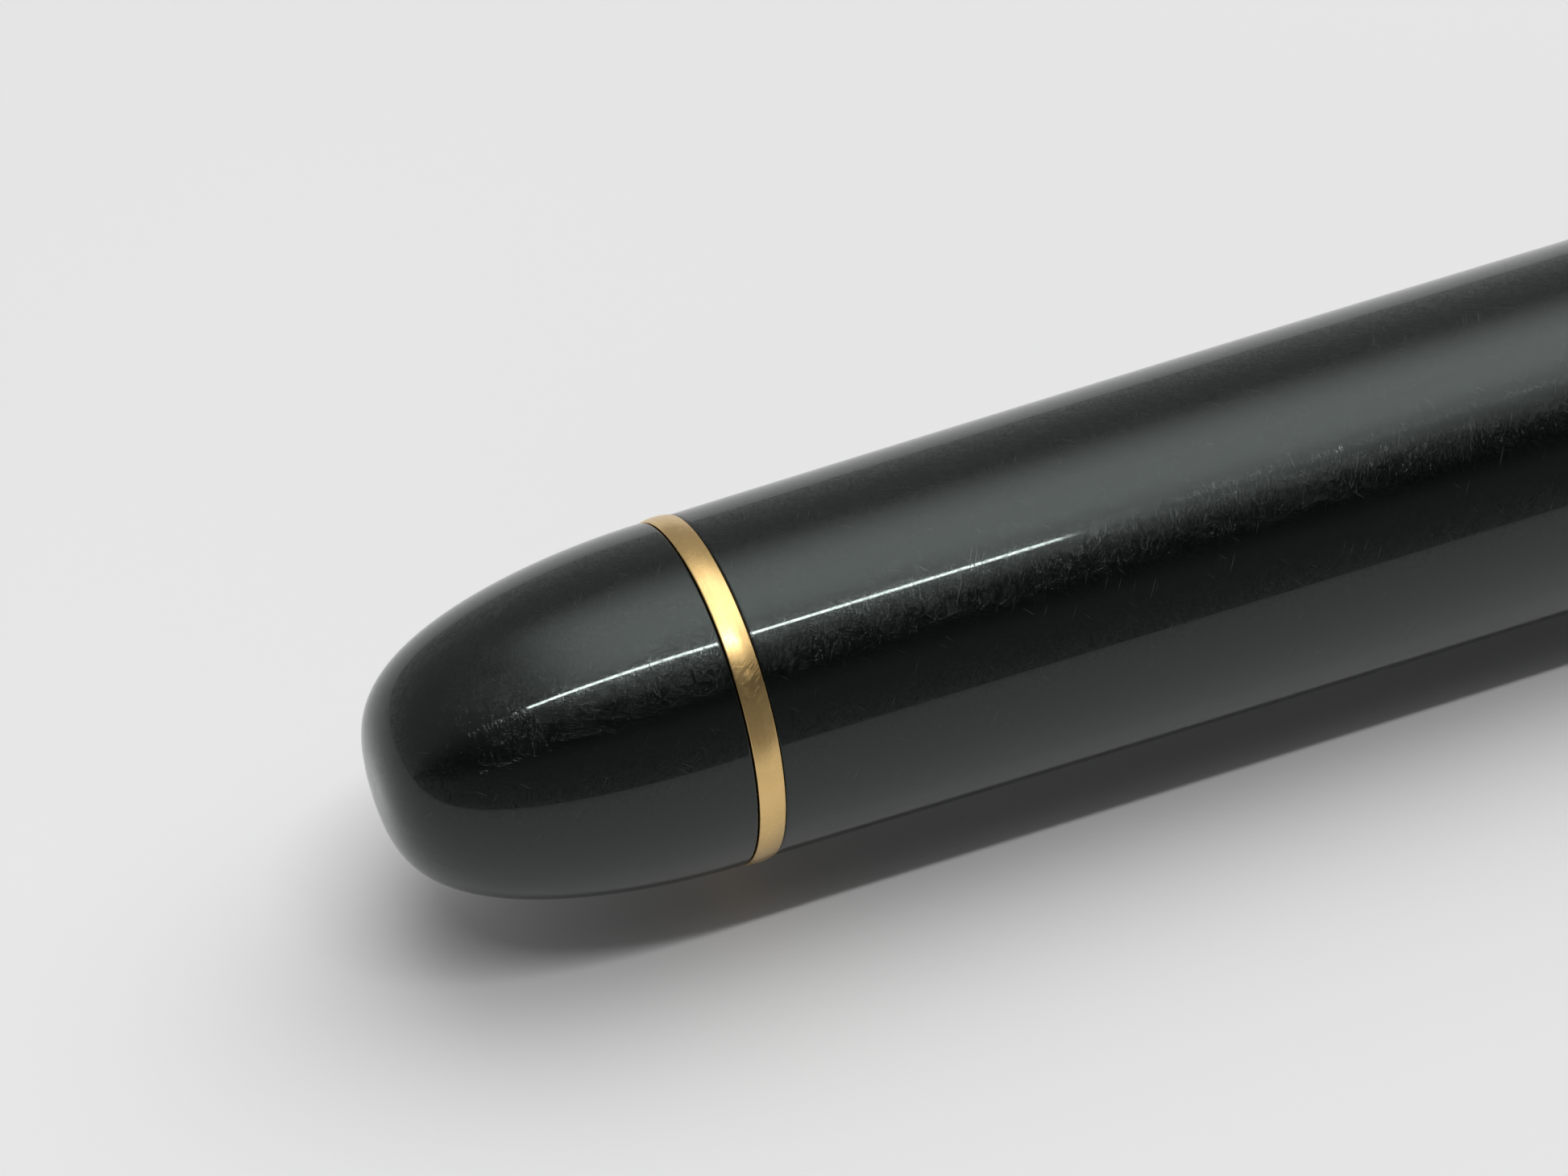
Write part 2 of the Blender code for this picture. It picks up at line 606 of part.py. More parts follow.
def build_front(trim, section):
    """Trim ring, grip, threaded collar and nose cone."""
    turned(
        "trim_ring",
        [
            (TRIM_X, COLLAR_RADIUS + RUNNING),
            (TRIM_X, TRIM_RING_RADIUS),
            (TRIM_X + TRIM_RING_WIDTH, TRIM_RING_RADIUS),
            (TRIM_X + TRIM_RING_WIDTH, COLLAR_RADIUS + RUNNING),
        ],
        gold_plate(),
        trim,
    )
    waist = bulged(WAIST_FRONT_X, GRIP_WAIST_RADIUS, WAIST_REAR_X, GRIP_REAR_RADIUS, GRIP_POINTS)
    nose_seat = NOSE_BORE_RADIUS + NOSE_SPIGOT_WALL + SEAT
    nose_spigot_x = NOSE_X - NOSE_SPIGOT_LENGTH
    turned(
        "grip_section",
        [
            (GRIP_REAR_X, COLLAR_RADIUS + SEAT),
            (GRIP_REAR_X, GRIP_REAR_RADIUS),
            (RIDGE_X - SNAP_RIDGE_HALF_LENGTH, GRIP_REAR_RADIUS),
            (RIDGE_X - SNAP_RIDGE_HALF_WIDTH, SNAP_RIDGE_RADIUS),
            (RIDGE_X + SNAP_RIDGE_HALF_WIDTH, SNAP_RIDGE_RADIUS),
            *reversed(waist),
            (GRIP_FRONT_X - GRIP_LIP_LENGTH / 2, GRIP_LIP_RADIUS),
            (GRIP_FRONT_X, GRIP_LIP_RADIUS - BAND_BEVEL),
            (GRIP_FRONT_X, nose_seat),
            (nose_spigot_x - SEAT, nose_seat),
            (nose_spigot_x - SEAT, NOSE_BORE_RADIUS),
            (SHOULDER_X + REFILL_END_ROOM, NOSE_BORE_RADIUS),
            (SHOULDER_X + REFILL_END_ROOM, CAVITY_RADIUS),
            (COLLAR_FRONT_X + SEAT, CAVITY_RADIUS),
            (COLLAR_FRONT_X + SEAT, COLLAR_RADIUS + SEAT),
        ],
        black_resin(),
        section,
    )
    collar_rear = BARREL_FRONT_X - BUSH_LENGTH
    threaded_sleeve(
        "thread_collar",
        brass(),
        section,
        collar_rear + THREAD_RELIEF,
        COLLAR_RADIUS,
        THREAD_DEPTH,
        [
            (COLLAR_FRONT_X, COLLAR_RADIUS),
            (COLLAR_FRONT_X, CAVITY_RADIUS),
            (collar_rear, CAVITY_RADIUS),
        ],
        INNER_SIDES,
    )
    nose_tip_x = NOSE_X + NOSE_LENGTH
    cone = bulged(nose_tip_x, NOSE_FRONT_RADIUS, NOSE_X + NOSE_RIM, NOSE_REAR_RADIUS, NOSE_POINTS)
    cone_bore = TIP_RADIUS + NOSE_TIP_ROOM
    turned(
        "nose_cone",
        [
            (nose_spigot_x, NOSE_BORE_RADIUS),
            (nose_spigot_x, NOSE_BORE_RADIUS + NOSE_SPIGOT_WALL),
            (NOSE_X, NOSE_BORE_RADIUS + NOSE_SPIGOT_WALL),
            (NOSE_X, NOSE_REAR_RADIUS),
            *reversed(cone),
            (nose_tip_x, cone_bore),
            (REFILL_NOSE_X + 2 * SEAT, cone_bore),
            (REFILL_NOSE_X - REFILL_NOSE_TAPER, NOSE_BORE_RADIUS),
        ],
        gold_plate(),
        section,
    )


def band(name, x, width, radius, finish, cap):
    """One ring that slides onto the cap's seat from its mouth. Returns where the next one starts."""
    edge = min(BAND_BEVEL, width / 5)
    turned(
        name,
        [
            (x, BAND_SEAT_RADIUS + SEAT),
            (x, radius - edge),
            (x + edge, radius),
            (x + width - edge, radius),
            (x + width, radius - edge),
            (x + width, BAND_SEAT_RADIUS + SEAT),
        ],
        finish,
        cap,
    )
    return x + width + SEAT


def build_cap(liner, cap):
    """Cap shell, lip, bands, snap ring, inner cap, stud, clip ring and crown."""
    x = LIP_X
    x = band("cap_lip", x, LIP_LENGTH, LIP_RADIUS, black_resin(), cap)
    x = band("narrow_band_lower", x, NARROW_BAND_WIDTH, NARROW_BAND_RADIUS, gold_plate(), cap)
    x = band("band_spacer_lower", x, SPACER_WIDTH, CAP_MOUTH_RADIUS, black_resin(), cap)
    x = band("broad_band", x, BROAD_BAND_WIDTH, BAND_RADIUS, gold_plate(), cap)
    x = band("band_spacer_upper", x, SPACER_WIDTH, CAP_MOUTH_RADIUS, black_resin(), cap)
    x = band("narrow_band_upper", x, NARROW_BAND_WIDTH, NARROW_BAND_RADIUS, gold_plate(), cap)

    shell_top = WEB_X + CAP_WEB
    outside = [
        (x + (shell_top - x) * i / CAP_POINTS, cap_radius(x + (shell_top - x) * i / CAP_POINTS))
        for i in range(CAP_POINTS + 1)
    ]
    groove_radius = SNAP_RING_INNER_RADIUS + SNAP_RING_DEPTH + 2 * SEAT
    liner_seat = INNER_CAP_RADIUS + SEAT
    turned(
        "cap_shell",
        [
            (LIP_X, BAND_SEAT_RADIUS),
            (x, BAND_SEAT_RADIUS),
            *outside,
            (shell_top, STUD_RADIUS + SEAT),
            (WEB_X, STUD_RADIUS + SEAT),
            (WEB_X, liner_seat),
            (INNER_MOUTH_X - SEAT, liner_seat),
            (INNER_MOUTH_X - SEAT, CAP_BORE_RADIUS),
            (SNAP_RING_X + SNAP_RING_WIDTH + SEAT, CAP_BORE_RADIUS),
            (SNAP_RING_X + SNAP_RING_WIDTH + SEAT, groove_radius),
            (SNAP_RING_X - SEAT, groove_radius),
            (SNAP_RING_X - SEAT, CAP_BORE_RADIUS),
            (LIP_X, CAP_BORE_RADIUS),
        ],
        black_resin(),
        cap,
    )
    split = math.radians(360 - SNAP_RING_GAP_DEG)
    turned(
        "snap_ring",
        [
            (SNAP_RING_X, SNAP_RING_INNER_RADIUS),
            (SNAP_RING_X, SNAP_RING_INNER_RADIUS + SNAP_RING_DEPTH),
            (SNAP_RING_X + SNAP_RING_WIDTH, SNAP_RING_INNER_RADIUS + SNAP_RING_DEPTH),
            (SNAP_RING_X + SNAP_RING_WIDTH, SNAP_RING_INNER_RADIUS),
        ],
        steel(),
        cap,
        INNER_SIDES,
        split,
    )
    turned(
        "inner_cap",
        [
            (INNER_MOUTH_X, INNER_CAP_BORE_RADIUS),
            (INNER_MOUTH_X, INNER_CAP_RADIUS),
            (FLOOR_X + INNER_CAP_FLOOR, INNER_CAP_RADIUS),
            (FLOOR_X + INNER_CAP_FLOOR, STUD_RADIUS + RUNNING),
            (FLOOR_X, STUD_RADIUS + RUNNING),
            (FLOOR_X, INNER_CAP_BORE_RADIUS),
        ],
        black_plastic(),
        liner,
    )
    head_x = FLOOR_X - SEAT - STUD_HEAD_LENGTH
    stud_top = CROWN_X + STUD_DEPTH
    turned(
        "crown_stud",
        [
            (head_x, 0.0),
            (head_x, STUD_HEAD_RADIUS),
            (head_x + STUD_HEAD_LENGTH, STUD_HEAD_RADIUS),
            (head_x + STUD_HEAD_LENGTH, STUD_RADIUS),
            (stud_top, STUD_RADIUS),
            (stud_top, 0.0),
        ],
        brass(),
        cap,
        INNER_SIDES,
    )
    turned(
        "clip_ring",
        [
            (CLIP_RING_X, CROWN_SPIGOT_RADIUS + SEAT),
            (CLIP_RING_X, CLIP_RING_RADIUS - CLIP_RING_PROUD),
            (CLIP_RING_X + CLIP_RING_PROUD, CLIP_RING_RADIUS),
            (CLIP_RING_X + CLIP_RING_WIDTH - CLIP_RING_PROUD, CLIP_RING_RADIUS),
            (CLIP_RING_X + CLIP_RING_WIDTH, CLIP_RING_RADIUS - CLIP_RING_PROUD),
            (CLIP_RING_X + CLIP_RING_WIDTH, CROWN_SPIGOT_RADIUS + SEAT),
        ],
        gold_plate(),
        cap,
    )
    stud_hole = STUD_RADIUS + SEAT
    turned(
        "cap_crown",
        [
            (CLIP_RING_X, stud_hole),
            (CLIP_RING_X, CROWN_SPIGOT_RADIUS),
            (CROWN_X, CROWN_SPIGOT_RADIUS),
            *dome(CROWN_X, CAP_TOP_RADIUS, CROWN_DOME_LENGTH),
            (stud_top + SEAT, 0.0),
            (stud_top + SEAT, stud_hole),
        ],
        black_resin(),
        cap,
    )


def clip_stations(foot, ring_x):
    """The arm's middle line from its foot to its drop.

    Each station is (x, height above the pen's axis, half width, half thickness, lean, squareness). Lean is
    the angle of the section: a quarter turn where the line stands up, and zero where it lies along the cap.
    Squareness is the power of the section's outline, and 1 is an ellipse.
    """
    arm_height = cap_radius(ring_x) + CLIP_STANDOFF + CLIP_HALF_THICKNESS
    bend_radius = arm_height - foot - CLIP_FOOT_LENGTH
    stations = [(ring_x, foot, CLIP_ROOT_HALF_WIDTH, CLIP_HALF_THICKNESS, math.pi / 2, CLIP_SQUARENESS)]
    for i in range(CLIP_BEND_STEPS + 1):
        lean = math.pi / 2 * (1 - i / CLIP_BEND_STEPS)
        x = ring_x - bend_radius * (1 - math.sin(lean))
        z = foot + CLIP_FOOT_LENGTH + bend_radius * math.cos(lean)
        stations.append((x, z, CLIP_ROOT_HALF_WIDTH, CLIP_HALF_THICKNESS, lean, CLIP_SQUARENESS))
    drop_x = ring_x - CLIP_LENGTH
    neck_x = drop_x + CLIP_DROP_HALF_LENGTH
    start_x = ring_x - bend_radius
    for i in range(1, CLIP_ARM_STEPS + 1):
        t = i / CLIP_ARM_STEPS
        x = start_x + (neck_x - start_x) * t
        z = arm_height + (CLIP_DROP_CENTRE - arm_height) * t
        half_width = CLIP_ROOT_HALF_WIDTH + (CLIP_NECK_HALF_WIDTH - CLIP_ROOT_HALF_WIDTH) * t
        stations.append((x, z, half_width, CLIP_HALF_THICKNESS, 0.0, CLIP_SQUARENESS))
    for i in range(1, CLIP_DROP_STEPS):
        angle = math.pi * i / CLIP_DROP_STEPS
        swell = CLIP_DROP_RADIUS * math.sin(angle)
        half_width = swell if i > 1 else max(CLIP_NECK_HALF_WIDTH, swell)
        x = drop_x + CLIP_DROP_HALF_LENGTH * math.cos(angle)
        stations.append((x, CLIP_DROP_CENTRE, half_width, swell, 0.0, 1.0))
    return stations


def build_clip(clip, foot, ring_x):
    """The clip arm: a flat-topped bar that stands up from its ring and runs down to a round drop."""
    mesh = bmesh.new()
    rings = []
    for x, z, half_width, half_thick, lean, squareness in clip_stations(foot, ring_x):
        across = Vector((math.sin(lean), 0, math.cos(lean)))
        ring = []
        for k in range(CLIP_SECTION_POINTS):
            a = 2 * math.pi * (k + 0.5) / CLIP_SECTION_POINTS
            side = math.copysign(abs(math.cos(a)) ** squareness, math.cos(a))
            up = math.copysign(abs(math.sin(a)) ** squareness, math.sin(a))
            middle = Vector((x - ring_x, half_width * side, z - foot))
            ring.append(mesh.verts.new(middle + across * half_thick * up))
        rings.append(ring)
    for one, two in zip(rings, rings[1:]):
        for k in range(CLIP_SECTION_POINTS):
            m = (k + 1) % CLIP_SECTION_POINTS
            mesh.faces.new((one[k], one[m], two[m], two[k]))
    mesh.faces.new(rings[0])
    mesh.faces.new(rings[-1])
    return finished("clip_arm", mesh, gold_plate(), clip)


def on_axis(name, x, parent=None):
    """A body whose joint runs along the pen's axis, with its empty at x on that axis."""
    place = (x, 0, AXIS_HEIGHT) if parent is None else (x - parent["axis_x"], 0, 0)
    made = body(name, place, parent)
    made["axis_x"] = x
    return made


def main():
    for old in list(bpy.data.objects):
        bpy.data.objects.remove(old)
    root = on_axis("body_barrel", BARREL_FRONT_X)
    refill = on_axis("body_refill", REFILL_REAR_X, root)
    ball = on_axis("body_ball", BALL_TOP_X - BALL_RADIUS, refill)
    trim = on_axis("body_trim", TRIM_X, refill)
    section = on_axis("body_section", GRIP_REAR_X, trim)
    liner = on_axis("body_cap_liner", INNER_MOUTH_X, section)
    cap = on_axis("body_cap", LIP_X, liner)
    ring_x = CLIP_RING_X + CLIP_RING_WIDTH / 2
    foot = CLIP_RING_RADIUS + CLIP_FOOT_GAP
    turn = CLIP_ANGLE
    place = (ring_x - LIP_X, -foot * math.sin(turn), foot * math.cos(turn))
    clip = body("body_clip", place, cap, turn)

    build_barrel(root)
    build_refill(refill, ball)
    build_front(trim, section)
    build_cap(liner, cap)
    build_clip(clip, foot, ring_x)


main()
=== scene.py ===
"""A capped rollerball pen in black resin with gold-plated rings, lying on its side."""

import math

import bpy
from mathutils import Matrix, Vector


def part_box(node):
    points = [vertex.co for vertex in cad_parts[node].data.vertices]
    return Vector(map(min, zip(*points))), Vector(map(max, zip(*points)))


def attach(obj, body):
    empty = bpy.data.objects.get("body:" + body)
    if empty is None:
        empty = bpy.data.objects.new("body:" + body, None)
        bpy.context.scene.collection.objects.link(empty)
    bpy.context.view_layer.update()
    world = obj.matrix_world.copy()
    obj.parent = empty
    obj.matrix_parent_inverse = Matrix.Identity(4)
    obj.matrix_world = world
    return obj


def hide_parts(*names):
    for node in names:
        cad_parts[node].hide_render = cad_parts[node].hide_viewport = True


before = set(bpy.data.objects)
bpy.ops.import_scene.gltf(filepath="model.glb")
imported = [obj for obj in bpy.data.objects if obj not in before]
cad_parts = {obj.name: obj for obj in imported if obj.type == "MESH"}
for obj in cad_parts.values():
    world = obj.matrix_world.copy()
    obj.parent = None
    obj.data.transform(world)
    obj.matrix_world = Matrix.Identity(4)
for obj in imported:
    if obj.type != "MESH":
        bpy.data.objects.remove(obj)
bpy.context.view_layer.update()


# Barrel. A tube of black resin, turned on a lathe and buffed to a high gloss. It swells from the tail
# to the mouth, where a slimmer neck goes into the cap. The bush for the thread is glued in the mouth,
# and the tail dome plugs the other end.
MM = 0.001
SEAT = 0.05 * MM                # gap round pieces that are glued or pressed in
SIDES = 144                     # facets round a turned piece
INNER_SIDES = 96                # facets round a slimmer piece inside the pen
ARC_STEPS = 5                   # facets across a rounded edge
ARC_GUARD = 1.3                 # how far out the station beside an arc stands, in roundings
CREASE_ANGLE = math.radians(32) # sharper edges stay sharp in the shading
SWELL_STEPS = 24                # stations along the swell of the barrel
SHOULDER_HEIGHT = 0.15 * MM     # of the neck, above the trim ring
BORE_ROOM = 0.40 * MM           # round the refill
SPIGOT_RADIUS = 4.18 * MM       # of the plug on the tail dome
RESIN_EDGE = 0.09 * MM          # rounding that buffing leaves on the resin's edges
INNER_EDGE = 0.08 * MM


def reach(node):
    """Rear end, front end and radius of a piece that is round about the pen's axis."""
    low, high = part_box(node)
    return low.x, high.x, high.y


def rounded(outline):
    """Swaps each corner that names a rounding for an arc, with a station just outside each of its ends."""
    stations = []
    for i, (x, radius, *rounding) in enumerate(outline):
        if not rounding:
            stations.append((x, radius))
            continue
        corner = Vector((x, radius))
        back = (Vector(outline[i - 1][:2]) - corner).normalized() * rounding[0]
        ahead = (Vector(outline[(i + 1) % len(outline)][:2]) - corner).normalized() * rounding[0]
        stations.append(corner + ARC_GUARD * back)
        for step in range(ARC_STEPS + 1):
            t = step / ARC_STEPS
            stations.append(corner + back * (1 - t) ** 2 + ahead * t**2)
        stations.append(corner + ARC_GUARD * ahead)
    return [tuple(station) for station in stations]


def turned(name, outline, sides=SIDES):
    """Makes a piece as a lathe would, by extruding a ring of points along its outline.

    The outline is a list of stations, (x, radius) or (x, radius, rounding), round the whole section.
    It may start or end on the axis, where its radius is zero.
    """
    stations = rounded(outline)
    if stations[0][1] == 0:
        stations = stations[1:]
    elif stations[-1][1] > 0:
        stations.append(stations[0])
    x, radius = stations[0]
    bpy.ops.object.select_all(action="DESELECT")
    bpy.ops.mesh.primitive_circle_add(
        vertices=sides, radius=radius, location=(x, 0, AXIS_HEIGHT), rotation=(0, math.pi / 2, 0)
    )
    piece = bpy.context.object
    piece.name = piece.data.name = name
    bpy.ops.object.transform_apply()
    bpy.ops.object.mode_set(mode="EDIT")
    for next_x, next_radius in stations[1:]:
        bpy.ops.mesh.extrude_region_move(TRANSFORM_OT_translate={"value": (next_x - x, 0, 0)})
        if next_radius == 0:
            bpy.ops.mesh.merge(type="CENTER")
            break
        size = next_radius / radius
        bpy.ops.transform.resize(value=(1, size, size), center_override=(next_x, 0, AXIS_HEIGHT))
        x, radius = next_x, next_radius
    bpy.ops.mesh.select_all(action="SELECT")
    bpy.ops.mesh.remove_doubles(threshold=0.0001 * MM)
    bpy.ops.mesh.select_all(action="DESELECT")
    bpy.ops.mesh.select_non_manifold()
    if piece.data.total_vert_sel:
        bpy.ops.mesh.edge_face_add()
    bpy.ops.mesh.select_all(action="SELECT")
    bpy.ops.mesh.normals_make_consistent(inside=False)
    bpy.ops.object.mode_set(mode="OBJECT")
    bpy.ops.object.shade_smooth_by_angle(angle=CREASE_ANGLE)
    return piece


def swell(x0, r0, x1, r1, steps):
    """Stations that leave (x0, r0) at their steepest and run out level at (x1, r1)."""
    shares = [i / steps for i in range(steps + 1)]
    return [(x0 + t * (x1 - x0), r0 + (r1 - r0) * (1 - (1 - t) ** 2)) for t in shares]


barrel_low, barrel_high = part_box("barrel")
AXIS_HEIGHT = (barrel_low.z + barrel_high.z) / 2
barrel_rear, barrel_front, mouth_radius = reach("barrel")
bush_rear, bush_front, bush_radius = reach("barrel_bush")
tail_tip, spigot_front, tail_radius = reach("tail_dome")
shoulder_x = reach("cap_lip")[0] - SEAT
neck_radius = reach("trim_ring")[2] + SHOULDER_HEIGHT
cavity_radius = reach("refill_tube")[2] + BORE_ROOM
barrel_side = swell(barrel_rear, tail_radius, shoulder_x, mouth_radius, SWELL_STEPS)
barrel = turned(
    "barrel_tube",
    [
        (*barrel_side[0], RESIN_EDGE),
        *barrel_side[1:-1],
        (*barrel_side[-1], INNER_EDGE),
        (shoulder_x, neck_radius),
        (barrel_front, neck_radius, RESIN_EDGE),
        (barrel_front, bush_radius + SEAT, INNER_EDGE),
        (bush_rear - SEAT, bush_radius + SEAT),
        (bush_rear - SEAT, cavity_radius),
        (spigot_front + SEAT, cavity_radius),
        (spigot_front + SEAT, SPIGOT_RADIUS + SEAT),
        (barrel_rear, SPIGOT_RADIUS + SEAT),
    ],
)


def from_hex(text):
    """Turns an sRGB colour, written as #RRGGBB, into the linear colour that a shader takes."""
    shades = [int(text[i : i + 2], 16) / 255 for i in (1, 3, 5)]
    return [s / 12.92 if s <= 0.04045 else ((s + 0.055) / 1.055) ** 2.4 for s in shades] + [1]


def add_node(tree, kind, inputs=None, **settings):
    """Adds a node with its own settings, and with inputs that are values or other nodes' outputs."""
    made = tree.nodes.new(kind)
    for name, value in settings.items():
        setattr(made, name, value)
    for name, value in (inputs or {}).items():
        if isinstance(value, bpy.types.NodeSocket):
            tree.links.new(value, made.inputs[name])
        else:
            made.inputs[name].default_value = value
    return made


def new_material(name, **shader_values):
    """Starts a material, with plain values on its shader's own sockets. Returns it, its tree and shader."""
    material = bpy.data.materials.new(name)
    material.use_nodes = True
    shader = material.node_tree.nodes["Principled BSDF"]
    for socket, value in shader_values.items():
        shader.inputs[socket.replace("_", " ")].default_value = value
    return material, material.node_tree, shader


def unrolled(tree):
    """Coordinates of a turned piece's surface as if it were unrolled flat: along the axis, and round it."""
    place = add_node(
        tree, "ShaderNodeSeparateXYZ", {"Vector": add_node(tree, "ShaderNodeTexCoord").outputs["Object"]}
    )
    height = add_node(tree, "ShaderNodeMath", {0: place.outputs["Z"], 1: AXIS_HEIGHT}, operation="SUBTRACT")
    angle = add_node(
        tree, "ShaderNodeMath", {0: place.outputs["Y"], 1: height.outputs[0]}, operation="ARCTAN2"
    )
    arc = add_node(tree, "ShaderNodeMath", {0: angle.outputs[0], 1: mouth_radius}, operation="MULTIPLY")
    return add_node(tree, "ShaderNodeCombineXYZ", {"X": place.outputs["X"], "Y": arc.outputs[0]}).outputs[0]


SCRATCH_SOFTNESS = 0.08         # how gently a scratch's sides rise, on the noise's own scale


def scratches(tree, place, length, width, angle, rarity):
    """A pattern that is one along short straight scratches, at one angle to the axis, and zero between."""
    aligned = add_node(
        tree,
        "ShaderNodeMapping",
        {"Vector": place, "Rotation": (0, 0, math.radians(angle)), "Scale": (length, width, 1)},
        vector_type="TEXTURE",
    )
    streaks = add_node(
        tree,
        "ShaderNodeTexNoise",
        {"Vector": aligned.outputs[0], "Scale": 1.0, "Detail": 0.0},
        noise_dimensions="2D",
    )
    return add_node(
        tree,
        "ShaderNodeMapRange",
        {"Value": streaks.outputs["Fac"], "From Min": rarity, "From Max": rarity + SCRATCH_SOFTNESS},
    ).outputs["Result"]


def strongest(tree, patterns):
    """The highest of several patterns at each point."""
    highest = patterns[0]
    for pattern in patterns[1:]:
        highest = add_node(tree, "ShaderNodeMath", {0: highest, 1: pattern}, operation="MAXIMUM").outputs[0]
    return highest


# Black resin: a cast acrylic, buffed with a fine compound. The eye gets a deep black with a clean, sharp
# gloss. Handling has left hairlines in all directions, which show only beside a bright reflection, and a
# few short scuffs. Real hairlines are about 0.005 mm wide, and these are 0.02 mm, so that they show.
HAIRLINE_WIDTH = 0.020 * MM
HAIRLINE_RARITY = 0.66
HAIRLINES = ((0.9, 78), (0.6, 52), (0.7, 118), (0.5, 24), (0.8, 151), (1.1, 96))  # length in mm, angle
SCUFFS = ((1.3, 0.055, 62, 0.84), (0.9, 0.05, 132, 0.85))  # length and width in mm, angle, rarity
SCUFF_DULLING = 0.25            # added to the roughness

black_resin, resin_tree, resin_shader = new_material(
    "cast_acrylic_buffed", IOR=1.52, Specular_Tint=from_hex("#F0FFFA")
)
resin_surface = unrolled(resin_tree)
hairlines = strongest(
    resin_tree,
    [
        scratches(resin_tree, resin_surface, length * MM, HAIRLINE_WIDTH, angle, HAIRLINE_RARITY)
        for length, angle in HAIRLINES
    ],
)
scuffs = strongest(
    resin_tree,
    [
        scratches(resin_tree, resin_surface, length * MM, width * MM, angle, rarity)
        for length, width, angle, rarity in SCUFFS
    ],
)
haze = add_node(
    resin_tree, "ShaderNodeTexNoise", {"Vector": resin_surface, "Scale": 1 / (5 * MM), "Detail": 4.0}
)
gloss = add_node(
    resin_tree,
    "ShaderNodeMapRange",
    {"Value": haze.outputs["Fac"], "From Min": 0.35, "From Max": 0.75, "To Min": 0.03, "To Max": 0.07},
)
scuffed_gloss = add_node(
    resin_tree,
    "ShaderNodeMath",
    {0: scuffs, 1: SCUFF_DULLING, 2: gloss.outputs["Result"]},
    operation="MULTIPLY_ADD",
)
resin_tree.links.new(scuffed_gloss.outputs[0], resin_shader.inputs["Roughness"])
resin_colour = add_node(
    resin_tree,
    "ShaderNodeMixRGB",
    {"Fac": scuffs, "Color1": from_hex("#040505"), "Color2": from_hex("#262A2A")},
)
resin_tree.links.new(resin_colour.outputs[0], resin_shader.inputs["Base Color"])
resin_marks = strongest(resin_tree, [hairlines, scuffs])
resin_bump = add_node(
    resin_tree,
    "ShaderNodeBump",
    {"Height": resin_marks, "Strength": 1.0, "Distance": 0.0009 * MM},
    invert=True,
)
resin_tree.links.new(resin_bump.outputs["Normal"], resin_shader.inputs["Normal"])

barrel.data.materials.append(black_resin)
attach(barrel, "barrel")
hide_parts("barrel")


# Tail ring. A slim ring of brass, polished and gold plated, on the plug between the barrel and the dome.
# Its edges are rounded and its middle stands a little above them. A fine dark line parts it from the dome.
RING_EDGE = 0.04 * MM
RING_CROWN = 0.05 * MM          # how far the middle stands above the edges
RING_STEPS = 8
RING_PRESS = 0.038 * MM         # it is pressed up against the barrel, and almost closes the gap

ring_rear, ring_front, ring_radius = reach("tail_ring")
ring_front += RING_PRESS
ring_top = []
for i in range(RING_STEPS + 1):
    u = 2 * i / RING_STEPS - 1
    x = ring_rear + (ring_front - ring_rear) * (u + 1) / 2
    ring_top.append((x, ring_radius - RING_CROWN * u * u))
tail_ring = turned(
    "tail_ring_plated",
    [
        (ring_rear, SPIGOT_RADIUS + SEAT),
        (*ring_top[0], RING_EDGE),
        *ring_top[2:-2],
        (*ring_top[-1], RING_EDGE),
        (ring_front, SPIGOT_RADIUS + SEAT),
    ],
)

# Gold plate: a few microns of gold on polished brass. The eye gets a pale warm yellow with soft, satiny
# reflections, hairlines round the ring from wiping, and a few small nicks.
GOLD_MARKS = ((1.4, 0.020, 88, 0.60), (0.5, 0.025, 40, 0.68), (0.35, 0.06, 160, 0.78))  # like SCUFFS

gold_plate, gold_tree, gold_shader = new_material("gold_plate_polished", Metallic=1.0)
gold_surface = unrolled(gold_tree)
gold_marks = strongest(
    gold_tree,
    [
        scratches(gold_tree, gold_surface, length * MM, width * MM, angle, rarity)
        for length, width, angle, rarity in GOLD_MARKS
    ],
)
tarnish = add_node(
    gold_tree, "ShaderNodeTexNoise", {"Vector": gold_surface, "Scale": 1 / (1.2 * MM), "Detail": 4.0}
)
gold_colour = add_node(
    gold_tree,
    "ShaderNodeMixRGB",
    {"Fac": tarnish.outputs["Fac"], "Color1": from_hex("#E3C286"), "Color2": from_hex("#D6B377")},
)
gold_tree.links.new(gold_colour.outputs[0], gold_shader.inputs["Base Color"])
gold_gloss = add_node(
    gold_tree,
    "ShaderNodeMapRange",
    {"Value": tarnish.outputs["Fac"], "From Min": 0.3, "From Max": 0.7, "To Min": 0.25, "To Max": 0.30},
)
gold_tree.links.new(gold_gloss.outputs["Result"], gold_shader.inputs["Roughness"])
gold_bump = add_node(
    gold_tree, "ShaderNodeBump", {"Height": gold_marks, "Strength": 1.0, "Distance": 0.0012 * MM}, invert=True
)
gold_tree.links.new(gold_bump.outputs["Normal"], gold_shader.inputs["Normal"])

tail_ring.data.materials.append(gold_plate)
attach(tail_ring, "barrel")
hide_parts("tail_ring")


# Tail dome. The blunt end of the barrel, turned from the same resin, with a plug that is glued into the
# tube through the ring. A pocket in the plug holds the spring.
DOME_AXIAL_POWER = 1.8          # the dome's outline is a superellipse
DOME_RADIAL_POWER = 3.2
DOME_STEPS = 30
DOME_JOINT = 0.025 * MM         # the fine dark line between the dome and the ring
POCKET_RADIUS = 2.64 * MM


